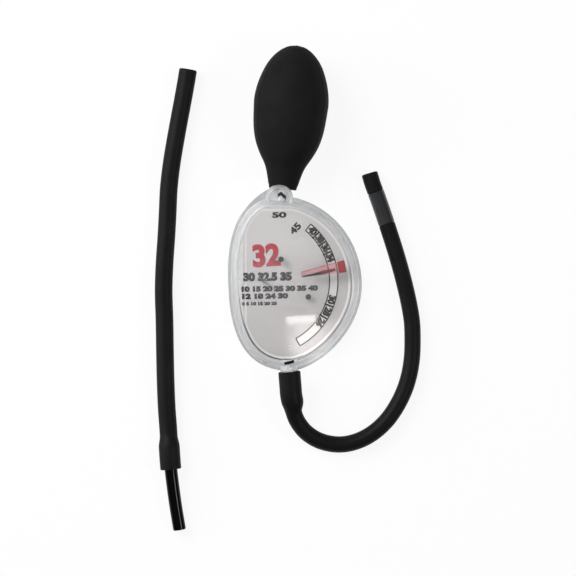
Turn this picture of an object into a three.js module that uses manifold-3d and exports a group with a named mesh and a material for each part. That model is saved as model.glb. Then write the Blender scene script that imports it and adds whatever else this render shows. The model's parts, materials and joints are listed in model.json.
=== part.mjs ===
import * as THREE from "three";
import { mergeVertices } from "three/addons/utils/BufferGeometryUtils.js";
import Module from "manifold-3d";

// Dial hydrometer for diesel exhaust fluid: a clear egg-shaped casing with a float and pointer inside,
// a squeeze bulb on top, an intake hose below, and a loose extension hose with its own suction tube.
// Millimetres. X runs right across the dial, Y towards the bulb, Z up out of the dial.
// The tool lies on its back on the surface z = 0, and the casing is drawn round the pointer's pivot.
// A name that ends in Share or Shares is a part of the size that it follows.

// Casing: two clear shells that meet in a flange
const casingRight = 60.5;
const casingLeft = 22.4;
const casingTop = 53.4;
const casingBottom = 55.4;
const windowDepth = 11.0;
const backDepth = 15.0;
const casingWall = 2.0;
const flangeWidth = 2.4;
const flangeThickness = 1.9;
const flangeRound = 0.6;
const rootFillet = 0.7;
const wallDraft = 0.8;
const shoulderRadius = 3.2;
const topAcrossShare = 0.11;
const rightDownShare = 0.042;
const bottomAcrossShare = 0.262;
const leftUpShare = 0.12;
const outlineHandleShares = [[0.68, 0.56], [0.465, 0.89], [0.35, 0.56], [0.6, 0.515]];

// Boss under the bulb's neck
const bossAcross = 9.5;
const bossUp = 51.4;
const bossRadius = 8.6;
const bossHalfDepth = 7.6;
const bossRound = 2.4;
const webDegrees = 132;
const webShare = 0.38;
const webBulge = 2.2;

// Squeeze bulb and the spigot that it is pushed on
const bulbAcross = 11.5;
const bulbUp = 57.3;
const bulbLeanDegrees = 5.7;
const bulbLength = 89.3;
const bulbRadius = 22.95;
const bulbWall = 2.6;
const spigotRadius = 5.2;
const spigotLength = 15.0;
const spigotRoot = 9.5;
const spigotBore = 2.6;
const spigotRidge = 0.45;
const spigotChamfer = 0.8;
const bulbProfileShares = [
  [0, 0.368], [0.07, 0.43], [0.153, 0.53], [0.238, 0.715], [0.32, 0.855], [0.42, 0.945], [0.55, 0.99],
  [0.62, 0.998], [0.7, 0.955], [0.78, 0.868], [0.865, 0.725], [0.935, 0.52], [0.985, 0.26], [1, 0],
];
const bulbFirstHollowShare = 0.2;
const bellyShare = 0.6;

// Inlet nipple and the intake hose that is pushed on it
const inletAcross = 15.6;
const inletLeanDegrees = 4.5;
const nippleRadius = 4.3;
const nippleRise = 0.45;
const nippleLength = 13.0;
const nippleRoot = 6.5;
const nippleRootRadius = 5.6;
const nippleBore = 2.4;
const barbCount = 3;
const hoseRadius = 5.15;
const hoseBore = 3.4;
const hoseSeat = 14.5;
const hoseSwell = 18.5;
const hoseSwellRadius = 6.95;
const hoseTaper = 8.0;
const seatShares = [0, 0.35, 0.7, 1];

// Sleeve on the intake hose, seated in a shallow neck of it
const sleeveFromTip = 12.5;
const sleeveLength = 21.0;
const sleeveWall = 0.55;

// Extension hose with the suction tube in its end
const extensionRadius = 5.6;
const extensionBore = 3.7;
const extensionSwellRadius = 6.6;
const extensionTaper = 7.0;
const extensionSeat = 14.0;
const extensionLength = 250.2;
const tubeRadius = 4.0;
const tubeBore = 2.7;

// Dial plate behind the float, with its support posts
const plateThickness = 1.2;
const plateBack = 3.6;
const plateMargin = 1.6;
const plateTop = 46.0;
const plateLeft = 13.1;
const plateHoleRadius = 2.2;
const postRadius = 2.2;
const postShares = [[0.62, 0.37], [0.49, -0.63], [-0.1, 0.61], [-0.11, -0.46]];

// Pivot, float, pointer and balance weights
const pinRadius = 1.0;
const pinBack = 11.5;
const pinFront = 8.0;
const pinChamfer = 0.3;
const pivotBossRadius = 3.4;
const restDegrees = 11.1;
const floatRadius = 38.5;
const floatHalfDegrees = 38;
const floatHubRadius = 12.0;
const floatBack = 0.6;
const floatThickness = 3.0;
const hubRadius = 3.3;
const hubBack = 1.7;
const hubFront = 4.4;
const pointerRoot = 23.5;
const pointerTip = 51.3;
const pointerHalfDegrees = 4.3;
const pointerThickness = 2.4;
const indexWidth = 4.7;
const indexThickness = 3.6;
const weightRadius = 1.7;
const weightLength = 4.4;
const weightChamfer = 0.35;
const weightPlaces = [[17.4, 41.8], [29.0, -30.0]];

// Pegs on the window that stop the pointer, at their angles on the dial
const stopRadius = 1.1;
const stopReach = 43.5;
const stopDegrees = [57.8, -68.8];

// Clearance between pieces that touch, and the overrun of every cut
const clearance = 0.3;
const overrun = 1.0;
const weldDistance = 0.0005;

// Counts of facets
const outlinePoints = 60;
const roundSides = 32;
const smallSides = 20;
const cornerSteps = 4;
const edgeSteps = 2;
const hoseSides = 12;
const bulbSides = 36;
const bulbSteps = 20;
const hoseStep = 9.0;

// Route of the intake hose past its seat, in the frame of the whole part
const intakeRoute = [
  [-1.3, -114.2, 13.3], [-0.6, -120.0, 12.1], [1.8, -125.9, 10.8], [6.8, -132.3, 9.1], [14.1, -137.2, 7.5],
  [22.4, -139.7, 6.4], [30.7, -140.0, 5.7], [39.9, -137.7, 5.4], [48.9, -132.8, 5.3], [57.1, -125.3, 5.3],
  [63.7, -115.8, 5.3], [68.4, -106.0, 5.3], [71.3, -96.3, 5.3], [72.9, -86.2, 5.3], [73.3, -75.0, 5.3],
  [72.9, -63.8, 5.3], [71.1, -52.6, 5.3], [68.6, -41.4, 5.3], [65.7, -30.3, 5.3], [62.4, -19.0, 5.3],
  [58.9, -8.0, 5.3], [55.2, 3.2, 5.3], [51.3, 14.4, 5.3], [48.5, 21.8, 5.3], [46.4, 28.8, 5.3],
];

// Route of the extension hose and its tube, in the frame of the whole part
const extensionRoute = [
  [-66.3, 93.4, 5.7], [-67.7, 84.9, 5.7], [-69.7, 73.8, 5.7], [-71.8, 62.6, 5.7], [-74.5, 47.7, 5.7],
  [-76.7, 34.1, 5.7], [-78.4, 19.2, 5.7], [-79.1, 4.3, 5.7], [-79.9, -10.6, 5.7], [-81.0, -26.7, 5.7],
  [-81.6, -44.0, 5.7], [-81.1, -62.6, 5.7], [-80.8, -81.2, 5.7], [-80.4, -99.8, 5.7], [-79.7, -117.2, 5.7],
  [-78.7, -130.8, 6.0], [-78.0, -143.2, 6.7], [-77.3, -153.1, 6.7], [-76.2, -163.1, 6.4], [-74.2, -178.0, 5.4],
  [-71.7, -193.3, 4.6],
];

const wasm = await Module();
wasm.setup();

const degree = Math.PI / 180;
const flatInset = flangeWidth + wallDraft + shoulderRadius;
const restSpan = bulbUp + bulbLength * bellyShare + casingBottom - flatInset;
const restTilt = Math.atan2(bulbRadius - backDepth, restSpan);

// Closed geometry to a solid for cutting and joining, without the slivers that merging leaves
function solid(geometry) {
  const bare = geometry.clone();
  bare.deleteAttribute("normal");
  bare.deleteAttribute("uv");
  const merged = mergeVertices(bare, weldDistance);
  const corners = Array.from(merged.index.array);
  const triangles = [];
  for (let i = 0; i < corners.length; i += 3) {
    const [a, b, c] = corners.slice(i, i + 3);
    if (a !== b && b !== c && c !== a) triangles.push(a, b, c);
  }
  const vertProperties = new Float32Array(merged.attributes.position.array);
  const triVerts = new Uint32Array(triangles);
  return new wasm.Manifold(new wasm.Mesh({ numProp: 3, vertProperties, triVerts }));
}

// A solid back to geometry
function geometryOf(body) {
  const mesh = body.getMesh();
  const geometry = new THREE.BufferGeometry();
  geometry.setAttribute("position", new THREE.BufferAttribute(mesh.vertProperties, mesh.numProp));
  geometry.setIndex(new THREE.BufferAttribute(mesh.triVerts, 1));
  return geometry;
}

function piece(name, geometry, color, roughness, metalness = 0, opacity = 1) {
  const material = new THREE.MeshStandardMaterial({ color, roughness, metalness, opacity, transparent: opacity < 1 });
  const mesh = new THREE.Mesh(geometry, material);
  mesh.name = name;
  return mesh;
}

// Radius whose flats, on a round of so many sides, stand at the given radius
function overFlats(radius, sides) {
  return radius / Math.cos(Math.PI / sides);
}

// Rings of equal count joined into one closed body, with a fan over each end
function loft(rings) {
  const count = rings[0].length;
  const points = rings.flat();
  const centre = (ring) => ring.reduce((sum, p) => sum.add(p), new THREE.Vector3()).divideScalar(count);
  const first = points.length;
  points.push(centre(rings[0]), centre(rings[rings.length - 1]));
  const index = [];
  for (let r = 0; r + 1 < rings.length; r++) {
    for (let i = 0; i < count; i++) {
      const a = r * count + i;
      const b = r * count + ((i + 1) % count);
      index.push(a, b, b + count, a, b + count, a + count);
    }
  }
  const last = (rings.length - 1) * count;
  for (let i = 0; i < count; i++) {
    const next = (i + 1) % count;
    index.push(first, next, i);
    index.push(first + 1, last + i, last + next);
  }
  const geometry = new THREE.BufferGeometry().setFromPoints(points);
  geometry.setIndex(index);
  return geometry;
}

// Revolve about Y of a profile given as [radius, height] pairs that closes on the axis or on itself
function turned(profile, sides) {
  return new THREE.LatheGeometry(profile.map(([r, h]) => new THREE.Vector2(r, h)), sides);
}

// The same revolve stood up along Z
function turnedUp(profile, sides) {
  return turned(profile, sides).rotateX(Math.PI / 2);
}

function rod(radius, low, high, sides) {
  return turned([[0, low], [radius, low], [radius, high], [0, high]], sides);
}

function rodUp(radius, low, high, sides) {
  return rod(radius, low, high, sides).rotateX(Math.PI / 2);
}

// Outline of the casing: four quarters between its top, left, bottom and right, run anticlockwise
function quarter(from, to, startsLevel, [fromShare, toShare]) {
  const across = to.x - from.x;
  const up = to.y - from.y;
  const one = startsLevel
    ? new THREE.Vector2(from.x + across * fromShare, from.y)
    : new THREE.Vector2(from.x, from.y + up * fromShare);
  const two = startsLevel
    ? new THREE.Vector2(to.x, to.y - up * toShare)
    : new THREE.Vector2(to.x - across * toShare, to.y);
  return new THREE.CubicBezierCurve(from, one, two, to);
}

function casingOutline() {
  const top = new THREE.Vector2(casingRight * topAcrossShare, casingTop);
  const left = new THREE.Vector2(-casingLeft, casingTop * leftUpShare);
  const bottom = new THREE.Vector2(casingRight * bottomAcrossShare, -casingBottom);
  const right = new THREE.Vector2(casingRight, -casingBottom * rightDownShare);
  const corners = [top, left, bottom, right, top];
  const path = new THREE.CurvePath();
  outlineHandleShares.forEach((shares, i) => path.add(quarter(corners[i], corners[i + 1], i % 2 === 0, shares)));
  return path;
}

const outline = casingOutline();
const outlineRing = Array.from({ length: outlinePoints }, (_, i) => {
  const place = outline.getPointAt(i / outlinePoints);
  const along = outline.getTangentAt(i / outlinePoints);
  return { place, inward: new THREE.Vector2(-along.y, along.x) };
});

// The outline drawn in by an inset, at a height
function ringAt(inset, height) {
  return outlineRing.map(({ place, inward }) => {
    const p = place.clone().addScaledVector(inward, inset);
    return new THREE.Vector3(p.x, p.y, height);
  });
}

// Quarter round from [inset, height] to one radius further in and up, tangent to the wall first
function quarterRound(inset, height, radius, steps) {
  return Array.from({ length: steps + 1 }, (_, i) => {
    const turn = (Math.PI / 2) * (i / steps);
    return [inset + radius * (1 - Math.cos(turn)), height + radius * Math.sin(turn)];
  });
}

// Outside of one shell: flange, drafted wall and rounded shoulder, from the seam up to its flat face
function shellOutside(depth) {
  const wallTop = flangeWidth + wallDraft;
  return [
    [0, clearance / 2],
    ...quarterRound(0, flangeThickness - flangeRound, flangeRound, edgeSteps),
    [flangeWidth - rootFillet, flangeThickness],
    [flangeWidth, flangeThickness + rootFillet],
    ...quarterRound(wallTop, depth - shoulderRadius, shoulderRadius, cornerSteps),
  ];
}

// Inside of one shell, one wall further in
function shellInside(depth) {
  const wall = flangeWidth + casingWall;
  const round = shoulderRadius - casingWall;
  return [
    [wall, -overrun],
    [wall, flangeThickness],
    ...quarterRound(wall + wallDraft, depth - casingWall - round, round, edgeSteps),
  ];
}

function shellSolid(profile) {
  return solid(loft(profile.map(([inset, height]) => ringAt(inset, height))));
}

// Boss under the bulb's neck, one half of it, above the seam
function bossHalf() {
  const corner = quarterRound(0, bossHalfDepth - bossRound, bossRound, cornerSteps)
    .map(([inset, height]) => [bossRadius - inset, height]);
  const profile = [[0, clearance / 2], [bossRadius, clearance / 2], ...corner, [0, bossHalfDepth]];
  return solid(turnedUp(profile, roundSides)).translate([bossAcross, bossUp, 0]);
}

// Web in the flange that runs from the boss into the casing's left shoulder
function bossWeb() {
  const foot = outline.curves[0].getPoint(webShare);
  const shape = new THREE.Shape();
  shape.moveTo(bossAcross, bossUp - bossRadius);
  shape.lineTo(bossAcross, bossUp + bossRadius);
  shape.absarc(bossAcross, bossUp, bossRadius, Math.PI / 2, webDegrees * degree, false);
  const ends = [shape.currentPoint.clone(), foot];
  const middle = ends[0].clone().add(ends[1]).multiplyScalar(1 / 2);
  const chord = foot.clone().sub(ends[0]).normalize();
  const bulge = middle.add(new THREE.Vector2(chord.y, -chord.x).multiplyScalar(webBulge));
  shape.quadraticCurveTo(bulge.x, bulge.y, foot.x, foot.y);
  const depth = flangeThickness - clearance / 2;
  const web = new THREE.ExtrudeGeometry(shape, { depth, bevelEnabled: false, curveSegments: cornerSteps * 2 });
  return solid(web.translate(0, 0, clearance / 2));
}

// Places a solid from the bulb's own axis, where it stands on the spigot, to the casing
function onBulbAxis(body) {
  return body.rotate([0, 0, -bulbLeanDegrees]).translate([bulbAcross, bulbUp, 0]);
}

// Places a solid from the inlet's axis, which runs down from the casing's lower edge, to the casing
function onInletAxis(body) {
  return body.rotate([0, 0, inletLeanDegrees]).translate([inletAcross, -casingBottom, 0]);
}

// Spigot for the bulb: a plain tube with one ridge near its end
function spigot() {
  const ridge = spigotRadius + spigotRidge;
  const profile = [
    [0, -spigotRoot], [spigotRadius, -spigotRoot], [spigotRadius, spigotLength - 5 * spigotChamfer],
    [ridge, spigotLength - 4 * spigotChamfer], [spigotRadius, spigotLength - spigotChamfer],
    [spigotRadius - spigotChamfer, spigotLength], [0, spigotLength],
  ];
  return onBulbAxis(solid(turned(profile, roundSides)));
}

// Inlet nipple: root collar and a row of barbs that slope towards its tip
function nipple() {
  const barb = (nippleLength - nippleRadius) / barbCount;
  const profile = [[0, nippleRoot], [nippleRootRadius, nippleRoot], [nippleRootRadius, -clearance]];
  profile.push([nippleRadius, -clearance]);
  for (let i = 0; i < barbCount; i++) {
    const start = nippleLength - barb * (barbCount - i);
    profile.push([nippleRadius, -start], [nippleRadius + nippleRise, -start - nippleRise]);
  }
  profile.push([nippleRadius - nippleRise, -nippleLength], [0, -nippleLength]);
  return onInletAxis(solid(turned(profile.reverse(), roundSides)));
}

// Passages through the spigot and the nipple into the chamber
function passages() {
  const up = onBulbAxis(solid(rod(spigotBore, -spigotRoot - overrun, spigotLength + overrun, smallSides)));
  const down = onInletAxis(solid(rod(nippleBore, -nippleLength - overrun, nippleRoot + overrun, smallSides)));
  return up.add(down);
}

// Room in the front shell for the tubes that the rear shell carries
function tubeRoom() {
  const up = onBulbAxis(solid(rod(spigotRadius + clearance, -spigotRoot - overrun, spigotLength, roundSides)));
  const down = onInletAxis(solid(rod(nippleRootRadius + clearance, -nippleRoot, nippleRoot + overrun, roundSides)));
  return up.add(down);
}

// Boss that holds one end of the pivot pin in a blind bore, from the shell's inner face to its tip
function pinBoss(tip, face, pinEnd) {
  const body = solid(rodUp(pivotBossRadius, tip, face + casingWall / 2, smallSides));
  return body.subtract(solid(rodUp(pinRadius + clearance, tip - overrun, pinEnd + clearance, smallSides)));
}

// Peg on the window's inner face that the pointer comes to rest on
function stopPeg(angle) {
  const low = floatBack + floatThickness + 2 * clearance;
  const x = stopReach * Math.cos(angle * degree);
  const y = stopReach * Math.sin(angle * degree);
  return solid(rodUp(stopRadius, low, windowDepth - casingWall / 2, smallSides)).translate([x, y, 0]);
}

function frontShell() {
  let body = shellSolid(shellOutside(windowDepth)).add(bossHalf()).add(bossWeb());
  body = body.subtract(shellSolid(shellInside(windowDepth))).subtract(tubeRoom());
  body = body.add(pinBoss(hubFront + 2 * clearance, windowDepth - casingWall, pinFront));
  for (const angle of stopDegrees) body = body.add(stopPeg(angle));
  return geometryOf(body);
}

// Post on the shell's back that the dial plate rests on
function platePost([across, up]) {
  const post = solid(rodUp(postRadius, plateBack + clearance, backDepth - casingWall / 2, smallSides));
  return post.translate([casingRight * across, -casingTop * up, 0]);
}

// The rear shell is drawn with its depth upwards, then turned over about X
function rearShell() {
  let body = shellSolid(shellOutside(backDepth)).add(bossHalf()).add(bossWeb()).mirror([0, 1, 0]);
  const cavity = shellSolid(shellInside(backDepth)).mirror([0, 1, 0]);
  body = body.add(spigot().rotate([180, 0, 0])).add(nipple().rotate([180, 0, 0])).subtract(cavity);
  body = body.add(pinBoss(plateBack + 2 * clearance, backDepth - casingWall, pinBack));
  for (const place of postShares) body = body.add(platePost(place));
  body = body.subtract(passages().rotate([180, 0, 0]));
  return geometryOf(body.rotate([180, 0, 0]));
}

// Plate with a straight upper edge and a straight left edge inside the casing's outline
function dialPlate() {
  const inset = flangeWidth + casingWall + plateMargin;
  const low = -plateBack;
  const high = plateThickness - plateBack;
  const plate = shellSolid([[inset, low], [inset, high]]);
  const width = casingRight + plateLeft;
  const height = plateTop + casingBottom;
  const window = new THREE.BoxGeometry(width, height, plateBack * 2);
  window.translate(width / 2 - plateLeft, plateTop - height / 2, low);
  const hole = solid(rodUp(plateHoleRadius, low - overrun, high + overrun, smallSides));
  return geometryOf(plate.intersect(solid(window)).subtract(hole));
}

function pivotPin() {
  const tip = pinRadius - pinChamfer;
  const profile = [
    [0, -pinBack], [tip, -pinBack], [pinRadius, pinChamfer - pinBack],
    [pinRadius, pinFront - pinChamfer], [tip, pinFront], [0, pinFront],
  ];
  return turned(profile, smallSides).rotateX(Math.PI / 2);
}

// Float: a fan that narrows to a round back, with a hub on the pivot and two holes for the weights
function floatVane() {
  const half = floatHalfDegrees * degree;
  const tangent = Math.acos(floatHubRadius / floatRadius);
  const shape = new THREE.Shape();
  shape.absarc(0, 0, floatRadius, -half, half, false);
  shape.absarc(0, 0, floatHubRadius, half + tangent, 2 * Math.PI - half - tangent, false);
  const fan = new THREE.ExtrudeGeometry(shape, { depth: floatThickness, bevelEnabled: false, curveSegments: smallSides });
  let body = solid(fan.translate(0, 0, floatBack));
  body = body.add(solid(rodUp(hubRadius, -hubBack, hubFront, smallSides)));
  const low = -hubBack - overrun;
  const high = hubFront + overrun;
  body = body.subtract(solid(rodUp(pinRadius + clearance, low, high, smallSides)));
  for (const [reach, angle] of weightPlaces) {
    const hole = solid(rodUp(weightRadius + clearance, low, high, smallSides));
    body = body.subtract(hole.translate([reach * Math.cos(angle * degree), reach * Math.sin(angle * degree), 0]));
  }
  return geometryOf(body);
}

// Sector of a ring about the pivot, centred on X, as an upright slab
function sector(inner, outer, low, height) {
  const half = pointerHalfDegrees * degree;
  const shape = new THREE.Shape();
  shape.absarc(0, 0, outer, -half, half, false);
  shape.absarc(0, 0, inner, half, -half, true);
  const slab = new THREE.ExtrudeGeometry(shape, { depth: height, bevelEnabled: false, curveSegments: cornerSteps });
  return solid(slab.translate(0, 0, low));
}

// Pointer: a wedge on the float's face that ends in a thicker index block
function pointer() {
  const low = floatBack + floatThickness + clearance;
  const index = pointerTip - indexWidth;
  const wedge = sector(pointerRoot, index + clearance, low, pointerThickness);
  return geometryOf(wedge.add(sector(index, pointerTip, low, indexThickness)));
}

function balanceWeight() {
  const tip = weightRadius - weightChamfer;
  const high = weightLength / 2;
  const profile = [[0, -high], [tip, -high], [weightRadius, weightChamfer - high]];
  profile.push([weightRadius, high - weightChamfer], [tip, high], [0, high]);
  return turned(profile, smallSides).rotateX(Math.PI / 2);
}

// Bulb: a rubber skin round its hollow, open at the neck, whose end is cut to fit round the boss
function squeezeBulb() {
  const knots = bulbProfileShares.map(([h, r]) => new THREE.Vector2(bulbRadius * r, bulbLength * h));
  const skin = new THREE.SplineCurve(knots);
  const outside = skin.getPoints(bulbSteps);
  outside[bulbSteps].x = 0;
  const hollow = [];
  for (let i = 0; i <= bulbSteps; i++) {
    const along = skin.getTangent(i / bulbSteps);
    const p = skin.getPoint(i / bulbSteps).add(new THREE.Vector2(-along.y, along.x).multiplyScalar(bulbWall));
    if (p.y > bulbLength * bulbFirstHollowShare && p.x > bulbWall) hollow.push([p.x, p.y]);
  }
  const bore = spigotRadius + spigotRidge + clearance;
  const tipHeight = bulbLength - bulbWall;
  const inner = [[0, -overrun], [bore, -overrun], [bore, spigotLength + clearance], ...hollow, [0, tipHeight]];
  const outer = [[0, 0], ...outside.map((p) => [p.x, p.y])];
  const boss = solid(rodUp(bossRadius + clearance, -bulbRadius, bulbRadius, roundSides));
  const body = onBulbAxis(solid(turned(outer, bulbSides)).subtract(solid(turned(inner, bulbSides))));
  return geometryOf(body.subtract(boss.translate([bossAcross, bossUp, 0])));
}

// Closed profile of [distance, radius] pairs carried along a path: a tube that can swell and neck
function carried(path, profile) {
  const length = path.getLength();
  const rings = [];
  const ordered = [...profile].sort((a, b) => a[0] - b[0]);
  const frames = new Map();
  let side = new THREE.Vector3(0, 0, 1);
  for (const [at] of ordered) {
    const u = Math.min(Math.max(at / length, 0), 1);
    const along = path.getTangentAt(u);
    side = side.clone().addScaledVector(along, -side.dot(along)).normalize();
    frames.set(at, { place: path.getPointAt(u), side, cross: along.clone().cross(side) });
  }
  for (const [at, radius] of profile) {
    const { place, side: up, cross } = frames.get(at);
    rings.push(Array.from({ length: hoseSides }, (_, i) => {
      const turn = (2 * Math.PI * (i + 0.5)) / hoseSides;
      const p = place.clone().addScaledVector(up, radius * Math.cos(turn));
      return p.addScaledVector(cross, radius * Math.sin(turn));
    }));
  }
  const index = [];
  rings.forEach((_, r) => {
    const next = (r + 1) % rings.length;
    for (let i = 0; i < hoseSides; i++) {
      const a = r * hoseSides + i;
      const b = r * hoseSides + ((i + 1) % hoseSides);
      const c = next * hoseSides + ((i + 1) % hoseSides);
      const d = next * hoseSides + i;
      index.push(a, b, c, a, c, d);
    }
  });
  const geometry = new THREE.BufferGeometry().setFromPoints(rings.flat());
  geometry.setIndex(index);
  return geometry;
}

// Even stations between two distances, with both ends left out
function between(from, to, radius) {
  const count = Math.round((to - from) / hoseStep);
  return Array.from({ length: Math.max(count - 1, 0) }, (_, i) => [from + ((to - from) * (i + 1)) / count, radius]);
}

// Smooth path through points
function routeOf(points) {
  return new THREE.CatmullRomCurve3(points, false, "centripetal");
}

const tool = new THREE.Group();
tool.rotation.x = restTilt;

function fillTool() {
  const clear = 0xe6ebee;
  tool.add(piece("front_shell", frontShell(), clear, 0.08, 0, 0.3));
  tool.add(piece("rear_shell", rearShell(), clear, 0.1, 0, 0.3));
  tool.add(piece("dial_plate", dialPlate(), 0xc4c5c7, 0.5));
  tool.add(piece("pivot_pin", pivotPin(), 0xb9bcc0, 0.3, 1));
  tool.add(piece("squeeze_bulb", squeezeBulb(), 0x1b1b1c, 0.75));
  const swing = new THREE.Group();
  swing.rotation.z = restDegrees * degree;
  swing.add(piece("float_vane", floatVane(), 0xd6d9db, 0.25));
  swing.add(piece("pointer", pointer(), 0xb5404a, 0.3));
  weightPlaces.forEach(([reach, angle], i) => {
    const weight = piece(`balance_weight_${i + 1}`, balanceWeight(), 0x7a6a3c, 0.4, 1);
    const x = reach * Math.cos(angle * degree);
    const y = reach * Math.sin(angle * degree);
    weight.position.set(x, y, floatBack + floatThickness / 2);
    swing.add(weight);
  });
  tool.add(swing);
}

// Moves the tool so that its box stands on the surface, centred on the origin
function seatTool() {
  tool.updateMatrixWorld(true);
  const box = new THREE.Box3().setFromObject(tool, true);
  const centre = box.getCenter(new THREE.Vector3());
  tool.position.set(-centre.x, -centre.y, -box.min.z);
  tool.updateMatrixWorld(true);
}

// Intake hose: swollen over the nipple, necked under the sleeve, open at its tip
function intakePath() {
  const lean = inletLeanDegrees * degree;
  const down = new THREE.Vector3(Math.sin(lean), -Math.cos(lean), 0);
  const seatStart = new THREE.Vector3(inletAcross, -casingBottom, 0).addScaledVector(down, 2 * clearance);
  const seat = seatShares.map((share) => seatStart.clone().addScaledVector(down, hoseSeat * share));
  const start = seat.map((p) => tool.localToWorld(p));
  return routeOf([...start, ...intakeRoute.map((p) => new THREE.Vector3(...p))]);
}

function intakeHose(path) {
  const length = path.getLength();
  const necked = hoseRadius - sleeveWall - clearance / 2;
  const sleeveStart = length - sleeveFromTip - sleeveLength;
  const sleeveEnd = length - sleeveFromTip;
  const seatBore = overFlats(nippleRadius + nippleRise + clearance, hoseSides);
  const taperEnd = hoseSwell + hoseTaper;
  const outside = [
    [0, hoseSwellRadius], [hoseSeat / 2, hoseSwellRadius], [hoseSeat, hoseSwellRadius],
    [hoseSwell, hoseSwellRadius], [taperEnd, hoseRadius],
    ...between(taperEnd, sleeveStart - clearance, hoseRadius),
    [sleeveStart - clearance, hoseRadius], [sleeveStart - clearance / 2, necked],
    ...between(sleeveStart, sleeveEnd, necked),
    [sleeveEnd + clearance / 2, necked], [sleeveEnd + clearance, hoseRadius], [length, hoseRadius],
  ];
  const inside = [
    [0, seatBore], [hoseSeat / 2, seatBore], [hoseSeat, seatBore], [hoseSwell, hoseBore], [taperEnd, hoseBore],
    ...between(taperEnd, length, hoseBore), [length, hoseBore],
  ];
  return carried(path, [...outside, ...inside.reverse()]);
}

function markerSleeve(path) {
  const length = path.getLength();
  const start = length - sleeveFromTip - sleeveLength;
  const end = length - sleeveFromTip;
  const bore = overFlats(hoseRadius - sleeveWall + clearance / 2, hoseSides);
  const outside = [[start, hoseRadius], ...between(start, end, hoseRadius), [end, hoseRadius]];
  const inside = [[start, bore], ...between(start, end, bore), [end, bore]];
  return carried(path, [...outside, ...inside.reverse()]);
}

function extensionPath() {
  return routeOf(extensionRoute.map((p) => new THREE.Vector3(...p)));
}

// Extension hose: plain at its open end, swollen where the suction tube goes in
function extensionHose(path) {
  const seatStart = extensionLength - extensionSeat;
  const taperStart = seatStart - extensionTaper;
  const seatBore = overFlats(tubeRadius + clearance, hoseSides);
  const swell = [[seatStart, extensionSwellRadius], [extensionLength, extensionSwellRadius]];
  const outside = [[0, extensionRadius], ...between(0, taperStart, extensionRadius)];
  outside.push([taperStart, extensionRadius], ...swell);
  const inside = [[0, extensionBore], ...between(0, taperStart, extensionBore)];
  inside.push([taperStart, extensionBore], [seatStart - clearance, extensionBore]);
  inside.push([seatStart - clearance / 2, seatBore], [extensionLength, seatBore]);
  return carried(path, [...outside, ...inside.reverse()]);
}

function extensionTube(path) {
  const start = extensionLength - extensionSeat;
  const end = path.getLength();
  const outside = [[start, tubeRadius], ...between(start, end, tubeRadius), [end, tubeRadius]];
  const inside = [[start, tubeBore], ...between(start, end, tubeBore), [end, tubeBore]];
  return carried(path, [...outside, ...inside.reverse()]);
}

fillTool();
seatTool();
const intake = intakePath();
const extension = extensionPath();
const hydrometer = new THREE.Group();
hydrometer.add(tool);
hydrometer.add(piece("intake_hose", intakeHose(intake), 0x171718, 0.7));
hydrometer.add(piece("marker_sleeve", markerSleeve(intake), 0x3c3e40, 0.45));
hydrometer.add(piece("extension_hose", extensionHose(extension), 0x171718, 0.7));
hydrometer.add(piece("extension_tube", extensionTube(extension), 0x0d0d0e, 0.25));

export default hydrometer;
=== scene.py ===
"""Looks of a dial hydrometer for diesel exhaust fluid.

A clear egg-shaped casing holds a dial plate, a float and a red pointer. A rubber squeeze bulb stands on it,
an intake hose runs from its lower end, and an extension hose with a suction tube lies beside it.
"""
import json
import logging
import math
from collections.abc import Sequence
from dataclasses import dataclass, field
from enum import Enum, IntEnum

import bmesh
import bpy
import numpy as np
from mathutils import Matrix, Vector


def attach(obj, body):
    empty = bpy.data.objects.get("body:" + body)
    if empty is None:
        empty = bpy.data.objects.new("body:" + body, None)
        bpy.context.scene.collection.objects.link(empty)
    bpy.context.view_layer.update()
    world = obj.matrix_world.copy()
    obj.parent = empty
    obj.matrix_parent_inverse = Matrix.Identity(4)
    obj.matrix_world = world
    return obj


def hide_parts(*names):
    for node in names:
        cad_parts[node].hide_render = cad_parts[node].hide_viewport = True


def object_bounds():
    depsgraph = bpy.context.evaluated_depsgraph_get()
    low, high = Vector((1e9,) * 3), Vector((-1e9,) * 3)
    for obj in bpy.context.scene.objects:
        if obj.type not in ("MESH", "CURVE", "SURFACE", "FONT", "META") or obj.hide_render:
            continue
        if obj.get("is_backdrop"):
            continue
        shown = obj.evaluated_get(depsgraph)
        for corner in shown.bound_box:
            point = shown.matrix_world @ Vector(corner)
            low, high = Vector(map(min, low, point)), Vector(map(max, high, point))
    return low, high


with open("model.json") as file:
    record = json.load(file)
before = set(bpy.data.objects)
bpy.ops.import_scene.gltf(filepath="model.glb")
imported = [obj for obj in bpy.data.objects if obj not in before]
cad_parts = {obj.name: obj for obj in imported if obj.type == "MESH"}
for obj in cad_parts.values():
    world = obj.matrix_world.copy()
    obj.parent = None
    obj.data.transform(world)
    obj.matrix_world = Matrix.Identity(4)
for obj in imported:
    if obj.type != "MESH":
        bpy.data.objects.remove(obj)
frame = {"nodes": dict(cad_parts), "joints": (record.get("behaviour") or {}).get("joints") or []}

LOG = logging.getLogger("hydrometer")
MM = 0.001
HAIR = 0.01 * MM
SHARP = 40.0
MANY_CORNERS = 40
WHITE = "#ffffff"
BYTE = 255
SRGB_TOE, SRGB_SLOPE, SRGB_LIFT, SRGB_POWER = 0.04045, 12.92, 0.055, 2.4
MIX_SHARE, MIX_FIRST, MIX_SECOND, MIX_RESULT = 0, 6, 7, 2
PATCH_LOW, PATCH_HIGH, PATCH_DETAIL, PATCH_BREAK = 0.35, 0.7, 4.0, 0.6

Place = tuple[float, float, float]
Flat = tuple[float, float]
Profile = list[Flat]
Faces = list[tuple[int, ...]]


# Colour and shader nodes


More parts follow.
